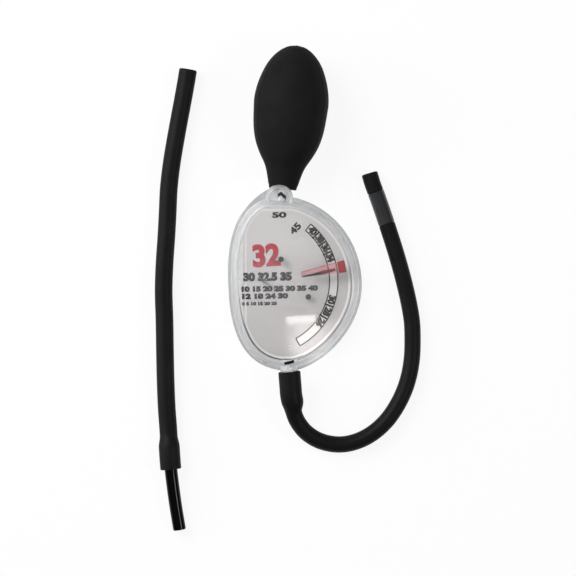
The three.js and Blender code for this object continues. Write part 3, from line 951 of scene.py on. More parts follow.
    def nipple(self) -> bpy.types.Object:
        """The inlet's root and its row of barbs, which slope towards the tip.

        Returns:
            The tube, not yet bored.
        """
        step = (self.nipple_length - self.nipple_radius) / self.barbs
        profile = [(self.root_radius, self.plate_room - self.nipple_root), (self.root_radius, self.seam),
                   (self.nipple_radius, self.seam)]
        for i in range(self.barbs):
            start = self.nipple_length - step * (self.barbs - i)
            profile += [(self.nipple_radius, start),
                        (self.nipple_radius + self.nipple_rise, start + self.nipple_rise)]
        profile.append((self.nipple_radius - self.nipple_rise, self.nipple_length))
        return self.tube(profile, self.inlet_axis())

    def pin_boss(self, radius: float, tip: float, face: float, pin_end: float, way: int) -> bpy.types.Object:
        """Boss that holds one end of the pivot pin in a blind bore.

        Args:
            radius: its radius.
            tip: the height of its free end, from the seam.
            face: the height of the shell's inner face.
            pin_end: how far the pin reaches.
            way: 1 for the front, -1 for the back.

        Returns:
            The boss.
        """
        deep = face + self.wall / 2
        bore = self.pin_radius + self.seam
        profile = [(bore, pin_end + self.seam), (bore, tip), (radius, tip), (radius, deep)]
        return mesh_object("pin_boss", *turned([(r, h * way) for r, h in profile], self.pin_sides))

    def post(self, radius: float, tip: float, depth: float, at: Flat, way: int) -> bpy.types.Object:
        """A round post on a shell's flat face.

        Args:
            radius: its radius.
            tip: the height of its free end, from the seam.
            depth: the shell's depth.
            at: where it stands, from the pivot.
            way: 1 for the front, -1 for the back.

        Returns:
            The post.
        """
        heights = sorted((tip * way, (depth - self.wall / 2) * way))
        rod = turned([(radius, h) for h in heights], self.post_sides)
        return mesh_object("post", *rod, Matrix.Translation((*at, 0)))

    def passages(self) -> list[Passage]:
        """The bores of the spigot and of the nipple.

        Returns:
            Both passages.
        """
        low, high = -self.spigot_root - self.overrun, self.spigot_length + self.overrun
        heights = [low, *np.arange(-self.spigot_root, self.mark_step, self.mark_step), high]
        spigot = Passage(self.bulb_axis(), [(self.spigot_bore, float(h)) for h in heights], self.spigot_mark,
                         self.spigot_mark_slope, self.spigot_mark_peak)
        low, high = -self.nipple_root - self.overrun, self.nipple_length + self.overrun
        return [spigot, Passage(self.inlet_axis(), [(self.nipple_bore, low), (self.nipple_bore, high)])]

    def far_side(self, way: int) -> bpy.types.Object:
        """All that lies past the seam, seen from one shell.

        Args:
            way: 1 for the front shell, -1 for the back.

        Returns:
            A slab far larger than the casing.
        """
        reach = 2 * (self.right + self.top)
        heights = sorted((self.seam / 2 * way, -reach * way))
        return mesh_object("far_side", *turned([(reach, h) for h in heights], 4))

    def root_half(self, radius: float, root: float, axis: Matrix, way: int) -> bpy.types.Object:
        """One shell's half of a tube's root, which reaches a little into the casing.

        Args:
            radius: the root's radius.
            root: how far it reaches inwards.
            axis: the tube's axis.
            way: 1 for the front shell, -1 for the back.

        Returns:
            The half.
        """
        root_rod = self.rod(radius, -root, -self.seam, axis)
        combine(root_rod, self.far_side(way), Cut.TAKE)
        return root_rod

    def cover(self) -> bpy.types.Object:
        """The room that the front shell takes, drawn down to the back shell's side of the seam.

        Returns:
            The room as a solid.
        """
        low = -self.seam / 2
        room = mesh_object("cover", *loft([self.ring(0.0, low), self.ring(0.0, self.window_depth)]))
        boss = turned([(self.boss_radius, low), (self.boss_radius, self.window_depth)], self.boss_sides)
        combine(room, mesh_object("boss_cover", *boss, Matrix.Translation((*self.boss, 0))), Cut.JOIN)
        return room

    def front(self) -> bpy.types.Object:
        """The front shell, with its half of the boss, its pin boss and the pointer's two stops.

        Returns:
            The shell.
        """
        shell = self.outside("casing_front", self.window_depth, 1)
        for part in (self.boss_half(1), self.web(1)):
            combine(shell, part, Cut.JOIN)
        combine(shell, self.cavity(self.window_depth, 1), Cut.TAKE)
        combine(shell, self.root_half(self.spigot_radius, self.spigot_root, self.bulb_axis(), 1), Cut.JOIN)
        combine(shell, self.root_half(self.root_radius, self.nipple_root, self.inlet_axis(), 1), Cut.JOIN)
        for passage in self.passages():
            combine(shell, self.tube(passage.profile, passage.axis), Cut.TAKE)
        boss = self.pin_boss(self.pin_boss_radii[0], self.pin_boss_tips[0], self.window_depth - self.wall,
                             self.pin_ends[0], 1)
        combine(shell, boss, Cut.JOIN)
        for turn in self.stop_degrees:
            at = polar(self.stop_reach, turn)
            combine(shell, self.post(self.stop_radius, self.stop_tip, self.window_depth, at, 1), Cut.JOIN)
        return shell

    def rear(self) -> bpy.types.Object:
        """The rear shell, with the spigot, the nipple, its pin boss and the dial plate's posts.

        Returns:
            The shell.
        """
        shell = self.outside("casing_rear", self.back_depth, -1)
        for part in (self.boss_half(-1), self.web(-1)):
            combine(shell, part, Cut.JOIN)
        combine(shell, self.cavity(self.back_depth, -1), Cut.TAKE)
        for tube in (self.spigot(), self.nipple()):
            combine(tube, self.cover(), Cut.TAKE)
            combine(shell, tube, Cut.JOIN)
        boss = self.pin_boss(self.pin_boss_radii[1], self.pin_boss_tips[1], self.back_depth - self.wall,
                             self.pin_ends[1], -1)
        combine(shell, boss, Cut.JOIN)
        for across, up in self.post_shares:
            at = (self.right * across, self.top * up)
            combine(shell, self.post(self.post_radius, self.post_tip, self.back_depth, at, -1), Cut.JOIN)
        for passage in self.passages():
            combine(shell, self.tube(passage.profile, passage.axis), Cut.TAKE)
        return shell

    def dress_faces(self, shell: bpy.types.Object, walls: ShellFace) -> None:
        """Sorts a shell's faces by finish: bores, welded flange, walls and polished flats.

        Args:
            shell: the shell, already dressed.
            walls: the finish of its walls, boss and rounded shoulder.
        """
        back = self.place.inverted()
        bores = [(passage, passage.axis.inverted() @ back) for passage in self.passages()]
        for face in shell.data.polygons:
            corners = [shell.data.vertices[i].co for i in face.vertices]
            face.material_index = self.face_finish(corners, back, bores, face.normal, walls)

    def face_finish(self, corners: list[Vector], back: Matrix, bores: list[tuple[Passage, Matrix]],
                    normal: Vector, walls: ShellFace) -> ShellFace:
        """Picks one face's finish.

        Args:
            corners: the face's corners in the scene.
            back: turns places in the scene to places on the tool.
            bores: each passage, with the matrix to its own frame.
            normal: the face's direction in the scene.
            walls: the finish of walls.

        Returns:
            The finish.
        """
        for passage, to_axis in bores:
            spots = [to_axis @ p for p in corners]
            if all(math.hypot(p.x, p.y) < passage.widest() * self.bore_room for p in spots):
                middle = sum(spots, Vector()) / len(spots)
                # faces in the mark take the painted shade black
                return ShellFace.PAINTED_SHADE if passage.covers(middle) else ShellFace.WELDED
        spots = [back @ p for p in corners]
        if all(abs(p.z) < self.flange_thickness * self.flange_room for p in spots):
            return ShellFace.WELDED
        level = abs((back.to_3x3() @ normal).z) > self.level_share
        return ShellFace.POLISHED if level else walls

    def inlet_mouth_shade(self) -> None:
        """A slanting black mark of painted shade on the front shell's shoulder, where the inlet's mouth looks
        dark.
        """
        low, high = self.inlet_mark_across
        first, last = self.inlet_mark_insets
        spots = [(place, inward) for place, inward in self.rings if place.y < 0 and low < place.x < high]
        radius = self.shoulder + self.inlet_mark_rise
        middle = self.flange_width + self.draft + self.shoulder
        strip = []
        for i, (place, inward) in enumerate(spots):
            inset = first + (last - first) * i / len(spots)
            section = []
            for side, lift in ((-1, -self.seam), (1, -self.seam), (1, 0), (-1, 0)):
                step = inset + side * self.inlet_mark_width / 2
                off = max(0.0, middle - step)
                rise = math.sqrt(max(0.0, (radius + lift) ** 2 - off ** 2))
                height = self.window_depth - self.shoulder + rise
                section.append((place.x + inward.x * step, place.y + inward.y * step, height))
            strip.append(section)
        finish_piece(mesh_object("inlet_mouth_shade", *loft(strip), self.place), PAINTED_SHADE_BLACK, "tool_body")

    def build(self) -> None:
        """Makes the inlet's painted shade mark and both shells."""
        self.inlet_mouth_shade()
        for shell, finish, node, walls in ((self.front(), CLEAR, "front_shell", ShellFace.SATIN),
                                           (self.rear(), MILKY, "rear_shell", ShellFace.POLISHED)):
            shell.data.transform(self.place)
            finish_piece(shell, finish, "tool_body", node)
            for extra in (PAINTED_SHADE_BLACK, WELDED, SATIN):
                shell.data.materials.append(extra.material())
            self.dress_faces(shell, walls)


@dataclass(frozen=True)
class PrintRow:
    """A row of plain numbers on the dial plate."""

    name: str
    text: str
    at: Flat
    height: float
    turn: float
    bold: float
    stretch: float = 1.0
    ink: Finish = BLACK_INK


@dataclass
class Dial:
    """Silver-grey dial plate with its printed scale."""

    place: Matrix
    casing: Casing
    inset: float = 6.0 * MM
    low: float = -3.6 * MM
    high: float = -2.4 * MM
    top: float = 46.0 * MM
    left: float = 13.1 * MM
    ink: float = 0.05 * MM
    band_inner: float = 40.6 * MM
    band_outer: float = 45.8 * MM
    band_top: float = 50.8
    band_bottom: float = -61.0
    line: float = 0.75 * MM
    # painted highlight: the pale line's start and width inside the plate's edge
    border: Flat = (1.1 * MM, 1.2 * MM)
    # painted shadow: the dark line's start and its widths round part of the outline
    edge_start: float = 0.2 * MM
    painted_edge_shadow: tuple[Flat, ...] = (
        (0.26, 0.25 * MM), (0.31, 0.5 * MM), (0.34, 0.9 * MM), (0.43, 0.8 * MM), (0.48, 0.3 * MM),
        (0.83, 0.25 * MM))
    card_round: float = 0.2 * MM
    ink_sunk: float = 0.2
    ink_lift: float = 2.2
    line_level: int = 3
    sector_degrees: float = 1.5
    capital_share: float = 0.69
    figure_height: float = 3.7 * MM
    figure_bold: float = 0.4 * MM
    stretches: tuple[tuple[str, float, float], ...] = (
        ("40|38|36|34", 47.6, 18.2), ("30|28|26", -13.5, -38.0))
    rows: tuple[PrintRow, ...] = (
        PrintRow("upper_mark", "45", (19.6 * MM, 32.7 * MM), 3.9 * MM, 48, 0.28 * MM, 1.3),
        PrintRow("top_mark", "50", (9.3 * MM, 41.0 * MM), 3.1 * MM, 1, 0.24 * MM, 1.95),
        PrintRow("red_value", "32", (1.2 * MM, 15.4 * MM), 12.5 * MM, 4, 0.9 * MM, 0.95, RED_INK),
        PrintRow("bold_row", "30 32.5 35", (2.1 * MM, 2.6 * MM), 4.4 * MM, 1, 0.5 * MM, 1.1),
        PrintRow("upper_row", "10 15 20 25 30 35 40", (9.2 * MM, -4.7 * MM), 2.8 * MM, 1, 0.34 * MM, 1.36),
        PrintRow("lower_row", "12 18 24 30", (0.1 * MM, -9.4 * MM), 2.8 * MM, 1, 0.34 * MM, 1.48),
        PrintRow("small_row", "0 5 10 15 20 25", (-2.9 * MM, -14.0 * MM), 1.8 * MM, 1, 0.17 * MM, 1.3))

    def plan(self, inset: float, height: float, drawn_in: float = 0.0) -> list[Place]:
        """The plate's outline: the casing's, cut straight at the top and on the left.

        Args:
            inset: how far it lies inside the casing's outline.
            height: its height.
            drawn_in: how far the straight cuts are drawn in from the plate's own.

        Returns:
            Points round the outline.
        """
        ring = self.casing.ring(inset + drawn_in, height)
        return [(max(x, drawn_in - self.left), min(y, self.top - drawn_in), z) for x, y, z in ring]

    def plate(self) -> None:
        """The plate itself, with a small round on its upper edge."""
        rings = [self.plan(self.inset, self.low), self.plan(self.inset, self.high - self.card_round),
                 self.plan(self.inset + self.card_round, self.high)]
        piece = mesh_object("dial_plate_card", *loft(rings), self.place)
        finish_piece(piece, CARD, "tool_body", "dial_plate")

    def sector(self, inner: float, outer: float, start: float, end: float,
               level: int = 1) -> tuple[list[Place], Faces]:
        """A printed part of a ring about the pivot.

        Args:
            inner: its inner radius.
            outer: its outer radius.
            start: its first angle in degrees.
            end: its last angle in degrees.
            level: how many layers of ink lie under its face.

        Returns:
            Points and faces.
        """
        count = max(2, round(abs(end - start) / self.sector_degrees) + 1)
        low, high = self.high + self.ink * self.ink_sunk, self.high + self.ink * level
        rings = []
        for turn in np.linspace(start, end, count):
            near, far = polar(inner, turn), polar(outer, turn)
            rings.append([(*near, low), (*far, low), (*far, high), (*near, high)])
        return loft(rings)

    def frame_line(self) -> None:
        """Painted highlight: a pale line along the plate's edge. Painted shadow: a dark line outside it,
        below and on the right only.
        """
        start, width = self.border
        low, high = self.high + self.ink * self.ink_sunk, self.high + self.ink
        rings = [self.plan(self.inset, low, start), self.plan(self.inset, low, start + width),
                 self.plan(self.inset, high, start + width), self.plan(self.inset, high, start)]
        finish_piece(mesh_object("painted_highlight_border", *loft(rings, True), self.place), BORDER_HIGHLIGHT_INK, "tool_body")
        # the painted shadow runs only along the lower and right part of the outline
        shares, widths = zip(*self.painted_edge_shadow)
        first, last = (round(share * self.casing.sides) for share in (shares[0], shares[-1]))
        strip = []
        for i in range(first, last):
            place, inward = self.casing.rings[i]
            near = self.inset + self.edge_start
            far = near + float(np.interp(i / self.casing.sides, shares, widths))
            strip.append([(place.x + inward.x * step, place.y + inward.y * step, height) for step, height in
                          ((near, low), (far, low), (far, high), (near, high))])
        finish_piece(mesh_object("painted_edge_shadow", *loft(strip), self.place), EDGE_SHADOW_INK, "tool_body")

    def scale(self) -> None:
        """The band along the pointer's sweep: its white ground, its outlines and its end bars."""
        half = self.line / 2
        ground = self.sector(self.band_inner, self.band_outer, self.band_bottom, self.band_top, 1)
        finish_piece(mesh_object("scale_ground", *ground, self.place), WHITE_INK, "tool_body")
        lines = [(edge - half, edge + half, self.band_bottom, self.band_top)
                 for edge in (self.band_inner, self.band_outer)]
        bar = math.degrees(self.line / self.band_inner)
        for turn in (self.band_top, self.band_bottom):
            lines.append((self.band_inner, self.band_outer, turn - bar / 2, turn + bar / 2))
        for i, sides in enumerate(lines):
            piece = mesh_object(f"scale_line_{i + 1}", *self.sector(*sides, self.line_level), self.place)
            finish_piece(piece, LINE_INK, "tool_body")

    def figures(self, row: PrintRow) -> None:
        """Lays a row of plain numbers on the plate.

        Args:
            row: the numbers, with their middle, height, turn, thickening of strokes, stretch and ink.
        """
        curve = bpy.data.curves.new(row.name, "FONT")
        curve.body = row.text
        curve.align_x, curve.align_y = "CENTER", "CENTER"
        curve.size = row.height / self.capital_share
        curve.offset = row.bold / 2
        curve.bevel_depth = row.bold / 2
        curve.bevel_resolution = 0
        curve.extrude = self.ink
        letters = bpy.data.objects.new(row.name, curve)
        bpy.context.scene.collection.objects.link(letters)
        depsgraph = bpy.context.evaluated_depsgraph_get()
        mesh = bpy.data.meshes.new_from_object(letters.evaluated_get(depsgraph))
        bpy.data.objects.remove(letters)
        mesh.name = row.name
        spread = Matrix.Diagonal((row.stretch, 1, self.ink / (self.ink + row.bold / 2), 1))
        at_plate = Matrix.Translation((*row.at, self.high + self.ink * self.ink_lift))
        mesh.transform(self.place @ at_plate @ Matrix.Rotation(math.radians(row.turn), 4, "Z") @ spread)
        piece = bpy.data.objects.new(row.name, mesh)
        bpy.context.scene.collection.objects.link(piece)
        finish_piece(piece, row.ink, "tool_body")

    def numbers(self) -> None:
        """The scale's numbers, one figure after another along each filled stretch of the band."""
        middle = (self.band_inner + self.band_outer) / 2
        for number, (text, first, last) in enumerate(self.stretches):
            for i, figure in enumerate(text):
                turn = first + (last - first) * i / (len(text) - 1)
                self.figures(PrintRow(f"scale_figure_{number}_{i}", figure, polar(middle, turn),
                                      self.figure_height, turn - 90, self.figure_bold))

    def build(self) -> None:
        """Makes the plate, all its print, and the painted highlight and painted shadow along its edge."""
        self.plate()
        self.frame_line()
        self.scale()
        self.numbers()
        for row in self.rows:
            self.figures(row)


@dataclass
class FloatAndPointer:
    """Clear float on the pivot, its two weights and the red pointer."""

    place: Matrix
    rest: float = 11.1
    float_radius: float = 38.5 * MM
    hub_radius: float = 12.0 * MM
    half_fan: float = 38.0
    low: float = 0.6 * MM
    thickness: float = 3.0 * MM
    root: float = 23.5 * MM
    tip: float = 51.3 * MM
    index_width: float = 4.7 * MM
    half_angle: float = 4.3
    pointer_low: float = 3.9 * MM
    wedge_height: float = 2.4 * MM
    index_height: float = 3.6 * MM
    weight_radius: float = 1.7 * MM
    weight_length: float = 4.4 * MM
    weights: tuple[Flat, ...] = ((17.4 * MM, 41.8), (29.0 * MM, -30.0))
    weight_edge: float = 0.35 * MM
    weight_sides: int = 32
    fan_edge: float = 0.3 * MM
    fan_steps: int = 50
    wedge_edge: float = 0.25 * MM
    wedge_steps: tuple[int, int] = (6, 4)
    index_edge: float = 0.35 * MM
    index_gap: float = 0.1 * MM
    index_steps: tuple[int, int] = (10, 8)
    edge_segments: int = 3
    edge_degrees: float = 50.0
    sharp: float = 35.0
    stripe_edge: float = 0.05 * MM
    stripe_sunk: float = 0.4 * MM
    stripe_rise: float = 0.1 * MM
    # the two dark stripes are painted shade along the pointer's lower side; the last is its dense red edge
    stripes: tuple[tuple[str, Finish, tuple[Flat, ...]], ...] = (
        ("pointer_shade_stripe", POINTER_SHADE_RED, in_mm((24.0, -1.75), (34.0, -2.3), (36.0, -2.3), (36.0, -0.3),
                                          (31.0, -0.7), (24.0, -0.9))),
        ("pointer_far_shade_stripe", POINTER_FAR_SHADE_RED, in_mm((36.05, -2.3), (44.6, -1.9), (45.0, -1.0), (44.6, -0.1),
                                              (36.05, -0.1))),
        ("pointer_edge", RED_EDGE, in_mm((24.0, 1.2), (46.2, 2.8), (46.2, 3.4), (24.0, 1.7))))

    def turned_place(self) -> Matrix:
        """From the float's own frame, pointer along X, to the scene."""
        return self.place @ Matrix.Rotation(math.radians(self.rest), 4, "Z")

    def slab(self, name: str, plan: Sequence[Flat], low: float, high: float,
             edge: float) -> bpy.types.Object:
        """An upright slab with softened edges.

        Args:
            name: the piece's name.
            plan: its outline, run anticlockwise.
            low: its lower face.
            high: its upper face.
            edge: the width of the softened edge.

        Returns:
            The slab in the scene's frame.
        """
        rings = [[(x, y, low) for x, y in plan], [(x, y, high) for x, y in plan]]
        made = mesh_object(name, *loft(rings))
        bevel = made.modifiers.new("edge", "BEVEL")
        bevel.width, bevel.segments, bevel.limit_method = edge, self.edge_segments, "ANGLE"
        bevel.angle_limit = math.radians(self.edge_degrees)
        depsgraph = bpy.context.evaluated_depsgraph_get()
        mesh = bpy.data.meshes.new_from_object(made.evaluated_get(depsgraph))
        made.modifiers.clear()
        made.data = mesh
        mesh.transform(self.turned_place())
        shade(mesh, self.sharp)
        return made

    def arc(self, radius: float, start: float, end: float, count: int) -> list[Flat]:
        """Points on an arc about the pivot."""
        return [polar(radius, turn) for turn in np.linspace(start, end, count)]

    def vane(self) -> None:
        """The clear fan that floats."""
        tangent = math.degrees(math.acos(self.hub_radius / self.float_radius))
        back = self.half_fan + tangent
        plan = self.arc(self.float_radius, -self.half_fan, self.half_fan, self.fan_steps)
        plan += self.arc(self.hub_radius, back, 360 - back, self.fan_steps)
        piece = self.slab("float_fan", plan, self.low, self.low + self.thickness, self.fan_edge)
        finish_piece(piece, FLOAT, "float_pointer", "float_vane")

    def pointer(self) -> None:
        """The wedge, the dense block at its end, dark stripes of painted shade along its lower side, and its
        bright edge.
        """
        index, half = self.tip - self.index_width, self.half_angle
        outer, inner = self.wedge_steps
        wedge = self.arc(index, -half, half, outer) + self.arc(self.root, half, -half, inner)
        outer, inner = self.index_steps
        block = self.arc(self.tip, -half, half, outer) + self.arc(index + self.index_gap, half, -half, inner)
        low = self.pointer_low
        top = low + self.wedge_height
        pieces = [("pointer_wedge", wedge, low, top, self.wedge_edge, RED_WEDGE),
                  ("pointer_index", block, low, low + self.index_height, self.index_edge, RED_INDEX)]
        sunk, risen = top - self.stripe_sunk, top + self.stripe_rise
        for name, finish, plan in self.stripes:
            pieces.append((name, plan, sunk, risen, self.stripe_edge, finish))
        for name, plan, bottom, high, edge, finish in pieces:
            finish_piece(self.slab(name, plan, bottom, high, edge), finish, "float_pointer", "pointer")

    def balance(self) -> None:
        """The two weights in the float."""
        high, edge, r = self.weight_length / 2, self.weight_edge, self.weight_radius
        profile = [(r - edge, -high), (r, edge - high), (r, high - edge), (r - edge, high)]
        for i, (reach, turn) in enumerate(self.weights):
            at = (*polar(reach, turn), self.low + self.thickness / 2)
            place = self.turned_place() @ Matrix.Translation(at)
            piece = mesh_object(f"weight_{i + 1}", *turned(profile, self.weight_sides), place)
            finish_piece(piece, BRASS, "float_pointer", f"balance_weight_{i + 1}")

    def build(self) -> None:
        """Makes the float, the pointer and the weights."""
        self.vane()
        self.pointer()
        self.balance()


@dataclass
class SqueezeBulb:
    """Moulded rubber bulb that stands on the spigot, its neck cut round the boss."""

    place: Matrix
    casing: Casing
    length: float = 89.3 * MM
    radius: float = 22.95 * MM
    wall: float = 2.6 * MM
    bore: float = 5.95 * MM
    bore_depth: float = 15.3 * MM
    band_rise: float = 0.22 * MM
    band_degrees: float = 29.0
    band_edge: float = 2.5
    seam_rise: float = 0.2 * MM
    seam_degrees: float = 1.6
    profile_shares: tuple[Flat, ...] = (
        (0, 0.368), (0.07, 0.43), (0.153, 0.53), (0.238, 0.715), (0.32, 0.855), (0.42, 0.945), (0.55, 0.99),
        (0.62, 0.998), (0.7, 0.955), (0.78, 0.868), (0.865, 0.725), (0.935, 0.52), (0.985, 0.26), (1, 0))
    seam_shares: Flat = (0.03, 0.97)
    hollow_share: float = 0.2
    skin_steps: int = 8
    sides: int = 360
    boss_sides: int = 96
    cut_sharp: float = 30.0

    def skin(self) -> list[Vector]:
        """Points along the outside, from neck to tip.

        Returns:
            The points, each a radius and a height.
        """
        knots = [Vector((self.radius * r, self.length * h)) for h, r in self.profile_shares]
        knots = [knots[0] * 2 - knots[1], *knots, knots[-1] * 2 - knots[-2]]
        out = []
        for i in range(1, len(knots) - 2):
            a, b, c, d = knots[i - 1:i + 3]
            for s in range(self.skin_steps):
                t = s / self.skin_steps
                out.append(0.5 * ((b * 2) + (c - a) * t + (a * 2 - b * 5 + c * 4 - d) * t * t
                                  + (b * 3 - a - c * 3 + d) * t ** 3))
        return [*out, knots[-2]]

    def ring(self, radius: float, height: float, seam: bool) -> list[Place]:
        """A ring with the mould's seam and its band raised on two sides.

        Args:
            radius: its radius over the band.
            height: its height from the bulb's foot.
            seam: whether the seam and the band reach this ring.

        Returns:
            Points round the ring.
        """
        out = []
        for i in range(self.sides):
            turn = 360 * i / self.sides
            off = min(turn % 180, 180 - turn % 180)
            rise = self.seam_rise * max(0.0, 1 - (off / self.seam_degrees) ** 2)
            rise += self.band_rise * min(1.0, max(0.0, (self.band_degrees - off) / self.band_edge + 0.5))
            r = max(radius + (rise - self.band_rise if seam else 0.0), HAIR)
            out.append((*polar(r, turn), height))
        return out

    def build(self) -> None:
        """Makes the bulb as one skin with its bore and hollow."""
        skin = self.skin()
        outer = [(p.x, p.y) for p in skin[:-1]]
        inner = []
        for a, b in zip(skin, skin[1:]):
            way = (b - a).normalized()
            p = a + Vector((-way.y, way.x)) * self.wall
            if p.y > self.hollow_share * self.length and p.x > self.wall:
                inner.append((p.x, p.y))
        low, high = (share * self.length for share in self.seam_shares)
        rings = [self.ring(r, h, low < h < high) for r, h in outer]
        hollow = [(0.0, self.length), (0.0, self.length - self.wall), *reversed(inner),
                  (self.bore, self.bore_depth), (self.bore, 0.0)]
        rings += [self.ring(r, h, False) for r, h in hollow]
        points, faces = loft(rings, loop=True)
        tip = len(outer)
        faces = [f for f in faces if not (f[0] // self.sides == tip and f[2] // self.sides == tip + 1)]
        faces.append(tuple(tip * self.sides + i for i in range(self.sides)))
        faces.append(tuple((tip + 1) * self.sides + i for i in range(self.sides)))
        bulb = mesh_object("bulb_skin", points, faces, self.casing.bulb_axis())
        boss = self.casing.boss_radius + self.casing.seam
        room = turned([(boss, -self.radius), (boss, self.radius)], self.boss_sides)
        cutter = mesh_object("boss_room", *room, Matrix.Translation((*self.casing.boss, 0)))
        combine(bulb, cutter, Cut.TAKE, self.cut_sharp)
        bulb.data.transform(self.place)
        finish_piece(bulb, BULB_RUBBER, "tool_body", "squeeze_bulb")


@dataclass
class IntakeHose:
    """Rubber hose from the nipple, with its sleeve near the tip.

    The route is in metres in the scene, from where the hose leaves the nipple to its tip.
    """

    place: Matrix
    casing: Casing
    radius: float = 5.15 * MM
    bore: float = 3.4 * MM
    seat: float = 14.5 * MM
    swell: float = 18.5 * MM
    swell_radius: float = 6.95 * MM
    seat_bore: float = 5.2 * MM
    taper: float = 8.0 * MM
    sleeve_from_tip: float = 12.5 * MM
    sleeve_length: float = 21.0 * MM
    sleeve_wall: float = 0.55 * MM
    gap: float = 0.15 * MM
    streak: float = 0.08 * MM
    tip_round: float = 1.1 * MM
    tip_room: float = 1.1
    tip_steps: int = 4
    edge: float = 0.5 * MM
    sleeve_edge: float = 0.2 * MM
    sleeve_bed: float = 0.05 * MM
    after_sleeve: float = 1.0 * MM
    seat_shares: tuple[float, ...] = (0, 0.35, 0.7, 1)
    route: tuple[Place, ...] = (
        (-0.0013, -0.1142, 0.0133), (-0.0006, -0.1200, 0.0121), (0.0018, -0.1259, 0.0108),
        (0.0068, -0.1323, 0.0091), (0.0141, -0.1372, 0.0075), (0.0224, -0.1397, 0.0064),
        (0.0307, -0.1400, 0.0057), (0.0399, -0.1377, 0.0054), (0.0489, -0.1328, 0.0053),
        (0.0571, -0.1253, 0.0053), (0.0637, -0.1158, 0.0053), (0.0684, -0.1060, 0.0053),
        (0.0713, -0.0963, 0.0053), (0.0729, -0.0862, 0.0053), (0.0733, -0.0750, 0.0053),
        (0.0729, -0.0638, 0.0053), (0.0711, -0.0526, 0.0053), (0.0686, -0.0414, 0.0053),
        (0.0657, -0.0303, 0.0053), (0.0624, -0.0190, 0.0053), (0.0589, -0.0080, 0.0053),
        (0.0552, 0.0032, 0.0053), (0.0513, 0.0144, 0.0053), (0.0485, 0.0218, 0.0053),
        (0.0464, 0.0288, 0.0053))

    def path(self) -> Path:
        """The seat on the nipple, then the chosen route.

        Returns:
            The hose's centreline.
        """
        inlet = self.place @ self.casing.inlet_axis()
        seat = [inlet @ Vector((0, 0, 2 * self.casing.seam + self.seat * s)) for s in self.seat_shares]
        return Path([*(tuple(p) for p in seat), *self.route])

    def outside(self, tip: float, start: float, end: float) -> Profile:
        """The skin: swollen on the nipple, necked under the sleeve and rounded at the tip.

        Args:
            tip: the distance of the hose's tip.
            start: where the sleeve starts.
            end: where the sleeve ends.

        Returns:
            Distances and radii.
        """
        edge, necked = self.edge, self.radius - self.sleeve_wall
        profile = [(0.0, self.swell_radius - edge), (edge, self.swell_radius)]
        profile += stations([(edge * 2, self.swell_radius), (self.swell, self.swell_radius),
                             (self.swell + self.taper, self.radius), (start - self.gap * 2, self.radius)])
        profile += [(start - self.gap, necked), (end + self.gap, necked), (end + self.gap * 2, self.radius)]
        profile += stations([(end + self.after_sleeve, self.radius),
                             (tip - self.tip_round * self.tip_room, self.radius)])
        corner = quarter_round(0.0, tip - self.tip_round, self.tip_round, self.tip_steps)
        return profile + [(distance, self.radius - inset) for inset, distance in corner]

    def inside(self, tip: float) -> Profile:
        """The bore, from the tip back to the nipple.

        Args:
            tip: the distance of the hose's tip.

        Returns:
            Distances and radii.
        """
        profile = [(tip, self.bore)]
        profile += stations([(tip - HAIR, self.bore), (self.swell + self.taper, self.bore)])
        return profile + stations([(self.swell, self.seat_bore), (0.0, self.seat_bore)])

    def sleeve(self, start: float, end: float) -> Profile:
        """The sleeve's wall, outside first.

        Args:
            start: where it starts.
            end: where it ends.

        Returns:
            Distances and radii.
        """
        edge, inner = self.sleeve_edge, self.radius - self.sleeve_wall + self.sleeve_bed
        wall = [(start, self.radius - edge), (start + edge, self.radius)]
        wall += stations([(start + edge * 2, self.radius), (end - edge, self.radius)])
        wall += [(end, self.radius - edge)]
        return wall + stations([(end - HAIR, inner), (start + HAIR, inner)])

    def build(self) -> None:
        path = self.path()
        end = path.length - self.sleeve_from_tip
        start = path.length - self.sleeve_from_tip - self.sleeve_length
        profile = self.outside(path.length, start, end) + self.inside(path.length)
        hose = mesh_object("intake_hose_rubber", *path.tube(profile, streak=self.streak))
        finish_piece(hose, HOSE_RUBBER, "tool_body", "intake_hose")
        sleeve = mesh_object("sleeve_on_hose", *path.tube(self.sleeve(start, end)))
        finish_piece(sleeve, SLEEVE, "tool_body", "marker_sleeve")
        tuple(path.at(0.0))


